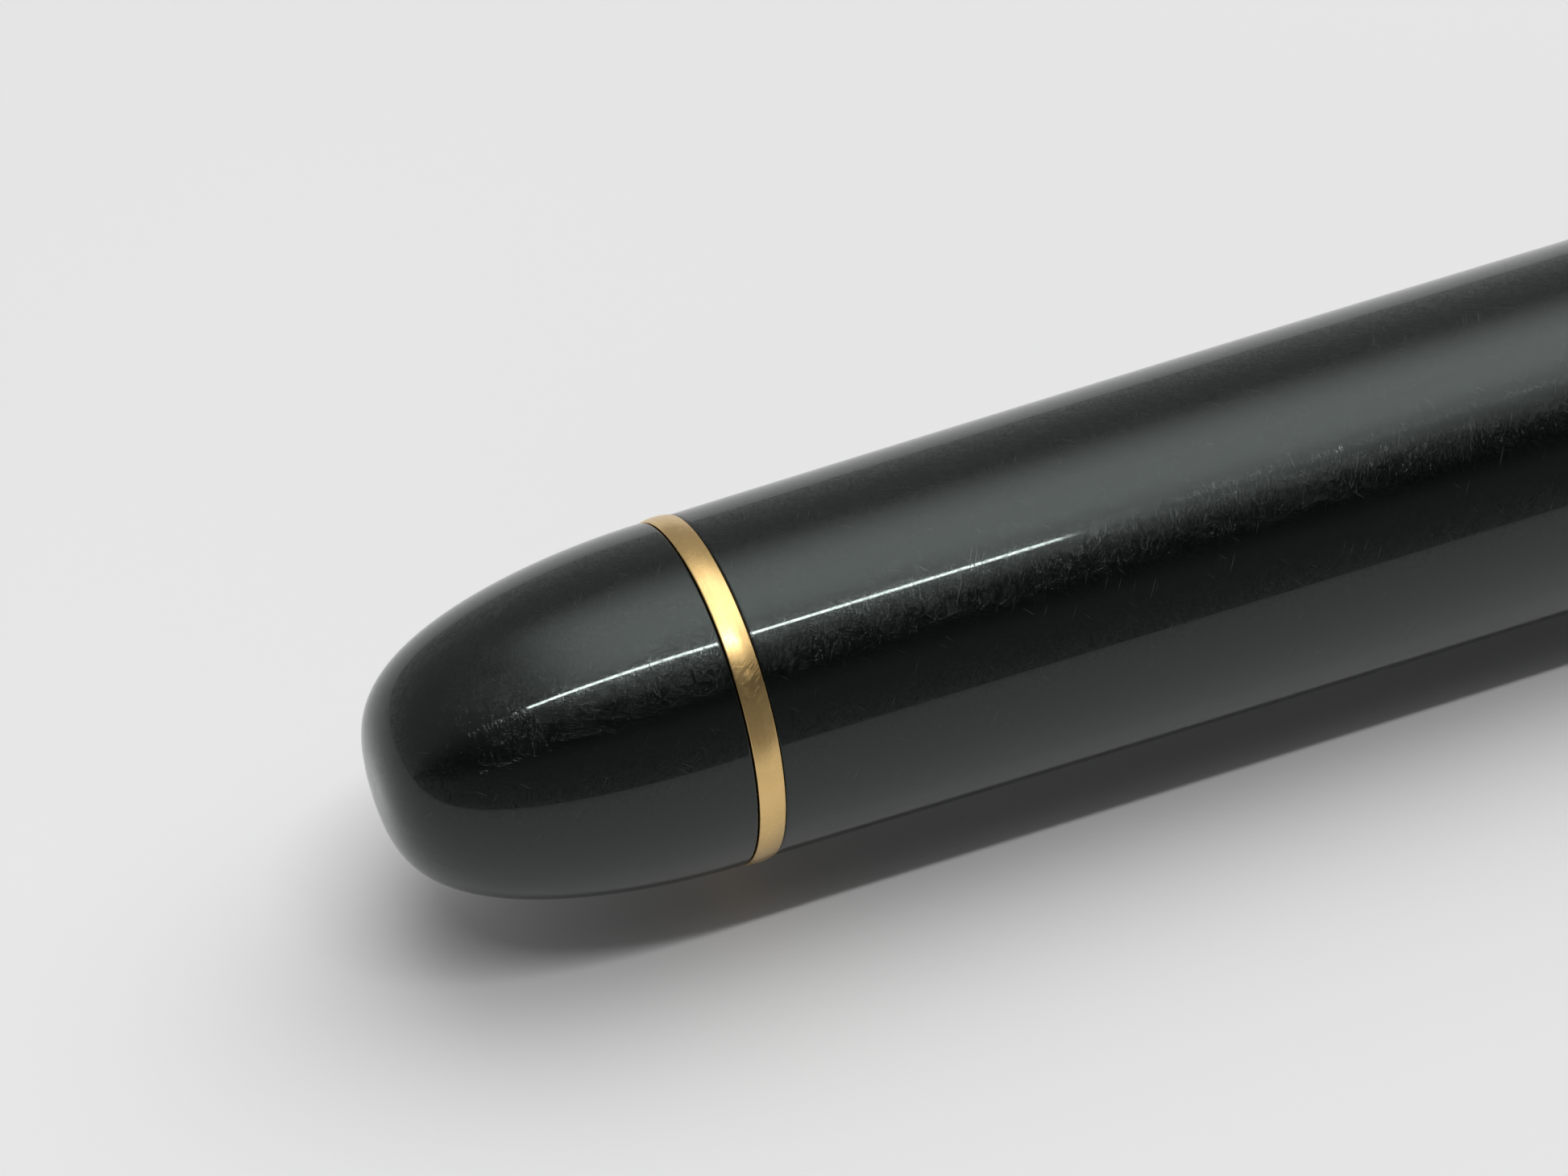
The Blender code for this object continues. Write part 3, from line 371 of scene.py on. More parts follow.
def dome(base_x, base_radius, tip_x):
    """Stations of a blunt dome from just after its base to its tip, on the axis."""
    stations = []
    for i in range(1, DOME_STEPS):
        share = math.sin(i / DOME_STEPS * math.pi / 2)
        radius = base_radius * (1 - share**DOME_AXIAL_POWER) ** (1 / DOME_RADIAL_POWER)
        stations.append((base_x + (tip_x - base_x) * share, radius))
    return [*stations, (tip_x, 0)]


dome_base = ring_rear - DOME_JOINT
pocket_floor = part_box("tail_spring")[0].x - SEAT
tail_dome = turned(
    "tail_dome_resin",
    [
        (pocket_floor, 0),
        (pocket_floor, POCKET_RADIUS),
        (spigot_front, POCKET_RADIUS, INNER_EDGE),
        (spigot_front, SPIGOT_RADIUS, INNER_EDGE),
        (dome_base, SPIGOT_RADIUS),
        (dome_base, tail_radius, RESIN_EDGE),
        *dome(dome_base, tail_radius, tail_tip),
    ],
)
tail_dome.data.materials.append(black_resin)
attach(tail_dome, "barrel")
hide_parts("tail_dome")


# Barrel bush. A brass sleeve with the inside thread, glued into the mouth of the barrel.
THREAD_PITCH = 0.75 * MM
THREAD_TURNS = 9
THREAD_DEPTH = 0.25 * MM
THREAD_RELIEF = 1.2 * MM        # plain length at each end
THREAD_STEPS = 8                # stations to one turn
BUSH_BORE = 4.64 * MM


def cut_thread(piece, start_x, base_radius):
    """Moves the points that lie at the base radius outwards along a right-hand helix, as a cutter would."""
    for point in piece.data.vertices:
        y, z = point.co.y, point.co.z - AXIS_HEIGHT
        along = (point.co.x - start_x) / THREAD_PITCH
        if abs(math.hypot(y, z) - base_radius) > 0.001 * MM or not 0 < along < THREAD_TURNS:
            continue
        angle = math.atan2(y, -z)
        wave = 0.5 - 0.5 * math.cos(2 * math.pi * along - angle)
        radius = base_radius + THREAD_DEPTH * wave * min(1, along, THREAD_TURNS - along)
        point.co.y, point.co.z = radius * math.sin(angle), AXIS_HEIGHT - radius * math.cos(angle)


def thread_stations(start_x, radius):
    """Plain stations, close enough together to carry the thread."""
    count = THREAD_TURNS * THREAD_STEPS
    return [(start_x + THREAD_PITCH * i / THREAD_STEPS, radius) for i in range(count + 1)]


thread_start = bush_rear + THREAD_RELIEF
bush = turned(
    "barrel_bush_brass",
    [
        (bush_rear, BUSH_BORE),
        *thread_stations(thread_start, BUSH_BORE),
        (bush_front, BUSH_BORE, INNER_EDGE),
        (bush_front, bush_radius, INNER_EDGE),
        (bush_rear, bush_radius),
    ],
    INNER_SIDES,
)
cut_thread(bush, thread_start, BUSH_BORE)

# Turned brass: the tool leaves fine rings, about 0.4 mm apart, that the eye sees as a soft streaky shine
# round the piece. The metal has dulled a little.
TOOL_RING_SCALE = 1 / (1.2 * MM)  # a wave texture at this scale repeats every 0.38 mm

brass, brass_tree, brass_shader = new_material("brass_turned", Metallic=1.0)
brass_place = add_node(brass_tree, "ShaderNodeTexCoord").outputs["Object"]
tool_rings = add_node(
    brass_tree,
    "ShaderNodeTexWave",
    {"Vector": brass_place, "Scale": TOOL_RING_SCALE, "Distortion": 0.6, "Detail": 1.0},
    bands_direction="X",
)
brass_gloss = add_node(
    brass_tree,
    "ShaderNodeMapRange",
    {"Value": tool_rings.outputs["Fac"], "To Min": 0.24, "To Max": 0.34},
)
brass_tree.links.new(brass_gloss.outputs["Result"], brass_shader.inputs["Roughness"])
dulling = add_node(
    brass_tree, "ShaderNodeTexNoise", {"Vector": brass_place, "Scale": 1 / (1.5 * MM), "Detail": 3.0}
)
brass_colour = add_node(
    brass_tree,
    "ShaderNodeMixRGB",
    {"Fac": dulling.outputs["Fac"], "Color1": from_hex("#DDBD6E"), "Color2": from_hex("#B9964C")},
)
brass_tree.links.new(brass_colour.outputs[0], brass_shader.inputs["Base Color"])
brass_bump = add_node(
    brass_tree,
    "ShaderNodeBump",
    {"Height": tool_rings.outputs["Fac"], "Strength": 0.2, "Distance": 0.002 * MM},
)
brass_tree.links.new(brass_bump.outputs["Normal"], brass_shader.inputs["Normal"])

bush.data.materials.append(brass)
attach(bush, "barrel")
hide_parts("barrel_bush")


# Tail spring. A coil of spring-steel wire in the dome's pocket, which presses the refill forward. It is
# the same in every position, deep in the barrel, so the wire keeps its plain shape.
def recoat(node, material):
    """Gives a piece of the frame a new material in place of its plain one."""
    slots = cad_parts[node].material_slots
    for material_slot in slots:
        material_slot.material = material


# Drawn steel wire: bright grey, with a fine mottle that blurs its shine.
spring_steel, steel_tree, steel_shader = new_material("spring_steel_drawn", Metallic=1.0)
steel_place = add_node(steel_tree, "ShaderNodeTexCoord").outputs["Object"]
mottle = add_node(
    steel_tree, "ShaderNodeTexNoise", {"Vector": steel_place, "Scale": 1 / (0.15 * MM), "Detail": 2.0}
)
steel_gloss = add_node(
    steel_tree,
    "ShaderNodeMapRange",
    {"Value": mottle.outputs["Fac"], "To Min": 0.22, "To Max": 0.40},
)
steel_tree.links.new(steel_gloss.outputs["Result"], steel_shader.inputs["Roughness"])
steel_colour = add_node(
    steel_tree,
    "ShaderNodeMixRGB",
    {"Fac": mottle.outputs["Fac"], "Color1": from_hex("#C9C8C6"), "Color2": from_hex("#A9A8A6")},
)
steel_tree.links.new(steel_colour.outputs[0], steel_shader.inputs["Base Color"])
recoat("tail_spring", spring_steel)


# Refill. A drawn metal tube of ink, crimped on a plug at its rear and on a moulded nose at its front, with
# a turned metal tip that holds the ball. Only the tip shows until the grip is unscrewed.
TUBE_WALL = 0.30 * MM
CRIMP_DEPTH = 0.10 * MM
CRIMP_WIDTH = 0.9 * MM
CRIMP_SETBACK = 1.8 * MM        # of each groove from its end of the tube
CRIMP_STEPS = 8
TUBE_EDGE = 0.10 * MM
VENT_RADIUS = 0.6 * MM

tube_rear, tube_front, tube_radius = reach("refill_tube")
plug_rear, plug_front, _ = reach("refill_plug")
tube_bore = tube_radius - TUBE_WALL


def crimp(middle_x):
    """Stations of a groove that is rolled into the tube, with rounded flanks."""
    stations = []
    for i in range(CRIMP_STEPS + 1):
        share = i / CRIMP_STEPS
        depth = CRIMP_DEPTH * (0.5 - 0.5 * math.cos(2 * math.pi * share))
        stations.append((middle_x + CRIMP_WIDTH * (share - 0.5), tube_radius - depth))
    return stations


refill_tube = turned(
    "refill_tube_drawn",
    [
        (tube_rear, tube_bore),
        (tube_rear, tube_radius, TUBE_EDGE),
        *crimp(tube_rear + CRIMP_SETBACK),
        *crimp(tube_front - CRIMP_SETBACK),
        (tube_front, tube_radius, TUBE_EDGE),
        (tube_front, tube_bore),
    ],
    INNER_SIDES,
)
refill_plug = turned(
    "refill_plug_moulded",
    [
        (plug_rear, VENT_RADIUS, TUBE_EDGE),
        (plug_rear, tube_radius, TUBE_EDGE),
        (tube_rear - SEAT, tube_radius, TUBE_EDGE),
        (tube_rear - SEAT, tube_bore - SEAT),
        (plug_front, tube_bore - SEAT),
        (plug_front, VENT_RADIUS),
    ],
    INNER_SIDES,
)

# Drawn tube of plated steel: a satin grey, brushed along its length by the drawing die.
refill_metal, tube_tree, tube_shader = new_material("steel_tube_satin", Metallic=1.0)
tube_place = add_node(
    tube_tree,
    "ShaderNodeMapping",
    {
        "Vector": add_node(tube_tree, "ShaderNodeTexCoord").outputs["Object"],
        "Scale": (1 / (6 * MM), 1 / (0.12 * MM), 1 / (0.12 * MM)),
    },
).outputs[0]
draw_lines = add_node(tube_tree, "ShaderNodeTexNoise", {"Vector": tube_place, "Scale": 1.0, "Detail": 2.0})
tube_gloss = add_node(
    tube_tree,
    "ShaderNodeMapRange",
    {"Value": draw_lines.outputs["Fac"], "To Min": 0.26, "To Max": 0.44},
)
tube_tree.links.new(tube_gloss.outputs["Result"], tube_shader.inputs["Roughness"])
tube_colour = add_node(
    tube_tree,
    "ShaderNodeMixRGB",
    {"Fac": draw_lines.outputs["Fac"], "Color1": from_hex("#C6C8CB"), "Color2": from_hex("#A8AAAE")},
)
tube_tree.links.new(tube_colour.outputs[0], tube_shader.inputs["Base Color"])


def moulded_plastic(name, light, dark, roughness, **shader_values):
    """Moulded plastic: one colour with a faint cloud in it, and the fine grain of a spark-cut mould."""
    material, tree, shader = new_material(name, IOR=1.5, **shader_values)
    place = add_node(tree, "ShaderNodeTexCoord").outputs["Object"]
    cloud = add_node(tree, "ShaderNodeTexNoise", {"Vector": place, "Scale": 1 / (3 * MM), "Detail": 2.0})
    grain = add_node(tree, "ShaderNodeTexNoise", {"Vector": place, "Scale": 1 / (0.08 * MM), "Detail": 2.0})
    colour = add_node(
        tree,
        "ShaderNodeMixRGB",
        {"Fac": cloud.outputs["Fac"], "Color1": from_hex(light), "Color2": from_hex(dark)},
    )
    tree.links.new(colour.outputs[0], shader.inputs["Base Color"])
    gloss = add_node(
        tree,
        "ShaderNodeMapRange",
        {"Value": grain.outputs["Fac"], "To Min": roughness - 0.06, "To Max": roughness + 0.06},
    )
    tree.links.new(gloss.outputs["Result"], shader.inputs["Roughness"])
    bump = add_node(
        tree, "ShaderNodeBump", {"Height": grain.outputs["Fac"], "Strength": 0.25, "Distance": 0.004 * MM}
    )
    tree.links.new(bump.outputs["Normal"], shader.inputs["Normal"])
    return material


# Polyamide for the refill's plug and the inner cap, polypropylene for the refill's nose: a waxy shine.
black_plastic = moulded_plastic("polyamide_black_moulded", "#1B1B1C", "#141415", 0.42)
white_plastic = moulded_plastic("polypropylene_white_moulded", "#E6E5E0", "#DAD9D3", 0.38)

# Ink-soaked fibre: matt blue-black strands that run along the refill.
ink_fibre, fibre_tree, fibre_shader = new_material("polyester_fibre_inked", Roughness=0.9)
fibre_place = add_node(
    fibre_tree,
    "ShaderNodeMapping",
    {
        "Vector": add_node(fibre_tree, "ShaderNodeTexCoord").outputs["Object"],
        "Scale": (1 / (8 * MM), 1 / (0.1 * MM), 1 / (0.1 * MM)),
    },
).outputs[0]
strands = add_node(fibre_tree, "ShaderNodeTexNoise", {"Vector": fibre_place, "Scale": 1.0, "Detail": 3.0})
fibre_colour = add_node(
    fibre_tree,
    "ShaderNodeMixRGB",
    {"Fac": strands.outputs["Fac"], "Color1": from_hex("#11131F"), "Color2": from_hex("#2A3050")},
)
fibre_tree.links.new(fibre_colour.outputs[0], fibre_shader.inputs["Base Color"])
fibre_bump = add_node(
    fibre_tree, "ShaderNodeBump", {"Height": strands.outputs["Fac"], "Strength": 0.5, "Distance": 0.03 * MM}
)
fibre_tree.links.new(fibre_bump.outputs["Normal"], fibre_shader.inputs["Normal"])

refill_tube.data.materials.append(refill_metal)
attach(refill_tube, "refill")
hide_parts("refill_tube")
refill_plug.data.materials.append(black_plastic)
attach(refill_plug, "refill")
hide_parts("refill_plug")
recoat("refill_nose", white_plastic)
recoat("ink_reservoir", ink_fibre)
recoat("feed_rod", ink_fibre)


# Writing tip and ball. The tip is turned from stainless steel, with a cone that steps in to a fine collar
# where the rim is spun over the ball. The ball has the same bright finish.
TIP_CONE_LENGTH = 2.78 * MM     # to the rim
TIP_COLLAR_LENGTH = 0.55 * MM
TIP_COLLAR_RADIUS = 0.60 * MM
TIP_RIM_RADIUS = 0.46 * MM
TIP_COLLAR_STEP = 0.06 * MM
TIP_SHANK_LENGTH = 2.2 * MM     # at full width, behind the cone
TIP_STEM_SHARE = 0.72           # of the full radius, behind the shank
SOCKET_DEPTH = 0.5 * MM
BALL_ROOM = 0.02 * MM
TIP_EDGE = 0.05 * MM

tip_rear, rim_x, tip_radius = reach("writing_tip")
ball_low, ball_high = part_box("writing_ball")
ball_radius = (ball_high.x - ball_low.x) / 2
socket_radius = ball_radius + BALL_ROOM
cone_x = rim_x - TIP_CONE_LENGTH
shank_x = cone_x - TIP_SHANK_LENGTH
writing_tip = turned(
    "writing_tip_turned",
    [
        (tip_rear, 0),
        (tip_rear, tip_radius * TIP_STEM_SHARE),
        (shank_x, tip_radius * TIP_STEM_SHARE),
        (shank_x, tip_radius, TIP_EDGE),
        (cone_x, tip_radius, TIP_EDGE),
        (rim_x - TIP_COLLAR_LENGTH, TIP_COLLAR_RADIUS + TIP_COLLAR_STEP),
        (rim_x - TIP_COLLAR_LENGTH, TIP_COLLAR_RADIUS),
        (rim_x, TIP_RIM_RADIUS, TIP_EDGE / 2),
        (rim_x, socket_radius),
        (rim_x - SOCKET_DEPTH, socket_radius),
        (rim_x - SOCKET_DEPTH, 0),
    ],
    INNER_SIDES,
)
bpy.ops.object.select_all(action="DESELECT")
bpy.ops.mesh.primitive_ico_sphere_add(subdivisions=4, radius=ball_radius, location=(ball_low + ball_high) / 2)
ball = bpy.context.object
ball.name = ball.data.name = "writing_ball_ground"
bpy.ops.object.transform_apply()
bpy.ops.object.shade_smooth()

# Stainless steel, turned and then burnished: fine rings and a clean, bright shine.
TIP_RING_SCALE = 1 / (1.0 * MM)   # a wave texture at this scale repeats every 0.31 mm

tip_metal, tip_tree, tip_shader = new_material("stainless_steel_turned", Metallic=1.0)
tip_place = add_node(tip_tree, "ShaderNodeTexCoord").outputs["Object"]
tip_rings = add_node(
    tip_tree,
    "ShaderNodeTexWave",
    {"Vector": tip_place, "Scale": TIP_RING_SCALE, "Distortion": 0.4, "Detail": 1.0},
    bands_direction="X",
)
tip_gloss = add_node(
    tip_tree, "ShaderNodeMapRange", {"Value": tip_rings.outputs["Fac"], "To Min": 0.14, "To Max": 0.24}
)
tip_tree.links.new(tip_gloss.outputs["Result"], tip_shader.inputs["Roughness"])
tip_colour = add_node(
    tip_tree,
    "ShaderNodeMixRGB",
    {"Fac": tip_rings.outputs["Fac"], "Color1": from_hex("#D2D1CE"), "Color2": from_hex("#BDBCBA")},
)
tip_tree.links.new(tip_colour.outputs[0], tip_shader.inputs["Base Color"])

writing_tip.data.materials.append(tip_metal)
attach(writing_tip, "refill")
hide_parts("writing_tip")
ball.data.materials.append(tip_metal)
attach(ball, "ball")
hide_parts("writing_ball")


# Trim ring. A plain gold-plated ring between the barrel's mouth and the grip, with soft edges.
TRIM_EDGE = 0.15 * MM
COLLAR_RADIUS = 4.28 * MM       # of the thread collar, which passes through the ring
TRIM_ROOM = 0.10 * MM

trim_rear, trim_front, trim_radius = reach("trim_ring")
trim_bore = COLLAR_RADIUS + TRIM_ROOM
trim_ring = turned(
    "trim_ring_plated",
    [
        (trim_rear, trim_bore),
        (trim_rear, trim_radius, TRIM_EDGE),
        (trim_front, trim_radius, TRIM_EDGE),
        (trim_front, trim_bore),
    ],
)
trim_ring.data.materials.append(gold_plate)
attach(trim_ring, "trim")
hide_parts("trim_ring")


# Grip section. Black resin, turned to a waist for the fingers, with a low ridge behind that the cap's
# spring ring snaps over, and a lip in front that keeps the fingers off the nose cone.
RIDGE_X = 3.2 * MM
RIDGE_HEIGHT = 0.12 * MM
RIDGE_HALF_WIDTH = 0.3 * MM
RIDGE_HALF_LENGTH = 1.2 * MM    # with its slopes
RIDGE_FOOT_ROUNDING = 0.3 * MM
RIDGE_TOP_ROUNDING = 0.2 * MM
WAIST_RADIUS = 4.53 * MM
LIP_RADIUS = 4.73 * MM
LIP_LENGTH = 2.4 * MM
LIP_STEPS = 10
LIP_STEEPNESS = 1.2             # the lip reaches its full width before its front end
LIP_BEVEL = 0.06 * MM
WAIST_STEPS = 24
NOSE_BORE = 2.6 * MM
NOSE_SPIGOT_WALL = 0.6 * MM
NOSE_SPIGOT_LENGTH = 4.0 * MM
STEP_SETBACK = 0.3 * MM         # of the step in the bore, in front of the refill's shoulder

grip_rear, grip_front, ridge_radius = reach("grip_section")
grip_radius = ridge_radius - RIDGE_HEIGHT
collar_rear, collar_front, _ = reach("thread_collar")
nose_seat = NOSE_BORE + NOSE_SPIGOT_WALL + SEAT
nose_spigot_x = reach("nose_cone")[0]
lip_x = grip_front - LIP_LENGTH
waist = swell(lip_x, WAIST_RADIUS, RIDGE_X + RIDGE_HALF_LENGTH, grip_radius, WAIST_STEPS)
lip_curve = []
for i in range(1, LIP_STEPS):
    share = i / LIP_STEPS
    rise = math.sin(math.pi * min(1, share * LIP_STEEPNESS) / 2)
    lip_curve.append((lip_x + LIP_LENGTH * share, WAIST_RADIUS + (LIP_RADIUS - WAIST_RADIUS) * rise))
grip = turned(
    "grip_section_resin",
    [
        (grip_rear, COLLAR_RADIUS + SEAT),
        (grip_rear, grip_radius, INNER_EDGE),
        (RIDGE_X - RIDGE_HALF_LENGTH, grip_radius, RIDGE_FOOT_ROUNDING),
        (RIDGE_X - RIDGE_HALF_WIDTH, ridge_radius, RIDGE_TOP_ROUNDING),
        (RIDGE_X + RIDGE_HALF_WIDTH, ridge_radius, RIDGE_TOP_ROUNDING),
        *reversed(waist),
        *lip_curve,
        (grip_front, LIP_RADIUS - LIP_BEVEL, INNER_EDGE),
        (grip_front, nose_seat),
        (nose_spigot_x - SEAT, nose_seat),
        (nose_spigot_x - SEAT, NOSE_BORE),
        (tube_front + STEP_SETBACK, NOSE_BORE),
        (tube_front + STEP_SETBACK, cavity_radius),
        (collar_front + SEAT, cavity_radius),
        (collar_front + SEAT, COLLAR_RADIUS + SEAT),
    ],
)
grip.data.materials.append(black_resin)
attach(grip, "section")
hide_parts("grip_section")


# Thread collar. A brass sleeve glued into the rear of the grip. Its thread screws into the barrel bush.
thread_collar = turned(
    "thread_collar_brass",
    [
        (collar_rear, cavity_radius, INNER_EDGE),
        (collar_rear, COLLAR_RADIUS, INNER_EDGE),
        *thread_stations(thread_start, COLLAR_RADIUS),
        (collar_front, COLLAR_RADIUS),
        (collar_front, cavity_radius),
    ],
    INNER_SIDES,
)
cut_thread(thread_collar, thread_start, COLLAR_RADIUS)
thread_collar.data.materials.append(brass)
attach(thread_collar, "section")
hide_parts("thread_collar")


# Nose cone. A gold-plated cone glued into the front of the grip, bellied towards its small end, where the
# writing tip comes out.
NOSE_RIM = 0.4 * MM
NOSE_FRONT_RADIUS = 1.74 * MM
NOSE_STEPS = 16
NOSE_TIP_BORE = 1.33 * MM
NOSE_BORE_TAPER = 2.2 * MM
NOSE_SHOULDER_ROOM = 0.1 * MM   # in front of the refill's nose

_, nose_front, nose_radius = reach("nose_cone")
nose_rear = grip_front + SEAT
nose_side = swell(nose_front, NOSE_FRONT_RADIUS, nose_rear + NOSE_RIM, nose_radius, NOSE_STEPS)
tip_shoulder_x = reach("refill_nose")[1] + NOSE_SHOULDER_ROOM
nose_cone = turned(
    "nose_cone_plated",
    [
        (nose_spigot_x, NOSE_BORE),
        (nose_spigot_x, NOSE_BORE + NOSE_SPIGOT_WALL),
        (nose_rear, NOSE_BORE + NOSE_SPIGOT_WALL),
        (nose_rear, nose_radius, TRIM_EDGE),
        *reversed(nose_side[1:]),
        (nose_front, NOSE_FRONT_RADIUS, TRIM_EDGE),
        (nose_front, NOSE_TIP_BORE, TIP_EDGE),
        (tip_shoulder_x, NOSE_TIP_BORE),
        (tip_shoulder_x - NOSE_BORE_TAPER, NOSE_BORE),
    ],
)
nose_cone.data.materials.append(gold_plate)
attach(nose_cone, "section")
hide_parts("nose_cone")


# Cap shell. The long body of the cap, turned from the same resin as the barrel. Its mouth is cut down to a
# thin seat for the bands, and its top end is bored for the inner cap and the crown's stud.
SHELL_STEPS = 24
BAND_SEAT_THICKNESS = 0.50 * MM
MOUTH_ROOM = 0.10 * MM          # round the barrel's neck
GROOVE_DEPTH = 0.38 * MM        # for the spring ring, from inside it
STUD_HOLE = 1.65 * MM

mouth_x, shell_top, shell_radius = reach("cap_shell")
band_x = reach("narrow_band_upper")[1] + SEAT
top_radius = reach("cap_crown")[2]
cap_bore = neck_radius + MOUTH_ROOM
band_seat = cap_bore + BAND_SEAT_THICKNESS
liner_mouth, liner_top, liner_radius = reach("inner_cap")
snap_rear, snap_front, _ = reach("snap_ring")
groove_radius = ridge_radius + GROOVE_DEPTH + MOUTH_ROOM
shell_side = swell(shell_top, top_radius, band_x, shell_radius, SHELL_STEPS)
cap_shell = turned(
    "cap_shell_resin",
    [
        (mouth_x, band_seat),
        (band_x, band_seat),
        (*shell_side[-1], RESIN_EDGE),
        *reversed(shell_side[1:-1]),
        (*shell_side[0], RESIN_EDGE),
        (shell_top, STUD_HOLE),
        (liner_top + SEAT, STUD_HOLE),
        (liner_top + SEAT, liner_radius + SEAT),
        (liner_mouth - SEAT, liner_radius + SEAT),
        (liner_mouth - SEAT, cap_bore),
        (snap_front + SEAT, cap_bore),
        (snap_front + SEAT, groove_radius),
        (snap_rear - SEAT, groove_radius),
        (snap_rear - SEAT, cap_bore),
        (mouth_x, cap_bore, INNER_EDGE),
    ],
)
cap_shell.data.materials.append(black_resin)
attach(cap_shell, "cap")
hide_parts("cap_shell")


# Cap bands. Three gold-plated rings, the middle one broad, slide onto the seat from the mouth of the cap,
# with thin resin rings between them. A resin lip is glued on last and holds them all.
BAND_EDGE = 0.12 * MM
BAND_SPACER_EDGE = 0.06 * MM

for node, edge, material, slot in (
    ("cap_lip", BAND_EDGE, black_resin, "black_resin"),
    ("narrow_band_lower", BAND_EDGE, gold_plate, "gold_plate"),
    ("band_spacer_lower", BAND_SPACER_EDGE, black_resin, "black_resin"),
    ("broad_band", BAND_EDGE, gold_plate, "gold_plate"),
    ("band_spacer_upper", BAND_SPACER_EDGE, black_resin, "black_resin"),
    ("narrow_band_upper", BAND_EDGE, gold_plate, "gold_plate"),
):
    rear, front, radius = reach(node)
    band = turned(
        f"{node}_ring",
        [
            (rear, band_seat + SEAT),
            (rear, radius, edge),
            (front, radius, edge),
            (front, band_seat + SEAT),
        ],
    )
    band.data.materials.append(material)
    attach(band, "cap")
    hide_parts(node)


# Inside the cap: a split ring of spring steel in its groove, the black inner cap that seals the tip, and
# the brass stud that pulls the crown and the clip ring down on the shell. They are all but hidden.
recoat("snap_ring", spring_steel)
recoat("inner_cap", black_plastic)
recoat("crown_stud", brass)


# Clip ring. A gold-plated ring gripped between the shell and the crown. It carries the clip.
CLIP_RING_EDGE = 0.2 * MM
CROWN_SPIGOT = 4.28 * MM

clip_ring_rear, clip_ring_front, clip_ring_radius = reach("clip_ring")
clip_ring = turned(
    "clip_ring_plated",
    [
        (clip_ring_rear, CROWN_SPIGOT + SEAT),
        (clip_ring_rear, clip_ring_radius, CLIP_RING_EDGE),
        (clip_ring_front, clip_ring_radius, CLIP_RING_EDGE),
        (clip_ring_front, CROWN_SPIGOT + SEAT),
    ],
)
clip_ring.data.materials.append(gold_plate)
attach(clip_ring, "cap")
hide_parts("clip_ring")


# Clip arm. A strip of spring brass, gold plated, that stands up from the ring, bends over and runs down to
# a round drop. It starts as a copy of the frame's arm, and its bends are smoothed.
CLIP_SMOOTHING = 2
CLIP_CREASE = math.radians(40)

bpy.ops.object.select_all(action="DESELECT")
clip_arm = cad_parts["clip_arm"].copy()
clip_arm.data = clip_arm.data.copy()
clip_arm.name = clip_arm.data.name = "clip_arm_plated"
clip_arm.parent = None
bpy.context.scene.collection.objects.link(clip_arm)
clip_arm.select_set(True)
bpy.context.view_layer.objects.active = clip_arm
bpy.ops.object.mode_set(mode="EDIT")
bpy.ops.mesh.select_all(action="SELECT")
bpy.ops.mesh.remove_doubles(threshold=0.001 * MM)
bpy.ops.mesh.tris_convert_to_quads(face_threshold=CLIP_CREASE, shape_threshold=math.pi)
bpy.ops.object.mode_set(mode="OBJECT")
smoothing = clip_arm.modifiers.new("smoothing", "SUBSURF")
smoothing.levels = smoothing.render_levels = CLIP_SMOOTHING
bpy.ops.object.modifier_apply(modifier="smoothing")
bpy.ops.object.shade_smooth_by_angle(angle=CLIP_CREASE)
clip_arm.data.materials.clear()
clip_arm.data.materials.append(gold_plate)
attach(clip_arm, "clip")
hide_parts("clip_arm")


# Cap crown. A blunt dome of resin like the barrel's tail, screwed down on the stud.
crown_rear, crown_tip, crown_radius = reach("cap_crown")
crown_base = clip_ring_front + SEAT
stud_top = reach("crown_stud")[1]
cap_crown = turned(
    "cap_crown_resin",
    [
        (stud_top + SEAT, 0),
        (stud_top + SEAT, STUD_HOLE),
        (crown_rear, STUD_HOLE),
        (crown_rear, CROWN_SPIGOT),
        (crown_base, CROWN_SPIGOT),
        (crown_base, crown_radius, RESIN_EDGE),
        *dome(crown_base, crown_radius, crown_tip),
    ],
)
cap_crown.data.materials.append(black_resin)
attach(cap_crown, "cap")
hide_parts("cap_crown")


# Floor. A plain pale table top, matt, so that it takes the pen's soft shadow and almost no reflection.
FLOOR_SIZE = 4                  # in metres

bpy.ops.object.select_all(action="DESELECT")
bpy.ops.mesh.primitive_plane_add(size=FLOOR_SIZE)
floor = bpy.context.object
floor.name = "floor"
floor_paint, floor_tree, floor_shader = new_material("matt_paint", Roughness=0.8)
floor_place = add_node(floor_tree, "ShaderNodeTexCoord").outputs["Object"]
floor_cloud = add_node(
    floor_tree, "ShaderNodeTexNoise", {"Vector": floor_place, "Scale": 1 / (60 * MM), "Detail": 2.0}
)
floor_colour = add_node(
    floor_tree,
    "ShaderNodeMixRGB",
    {"Fac": floor_cloud.outputs["Fac"], "Color1": from_hex("#EFEFEF"), "Color2": from_hex("#EBEBEB")},
)
floor_tree.links.new(floor_colour.outputs[0], floor_shader.inputs["Base Color"])
floor.data.materials.append(floor_paint)


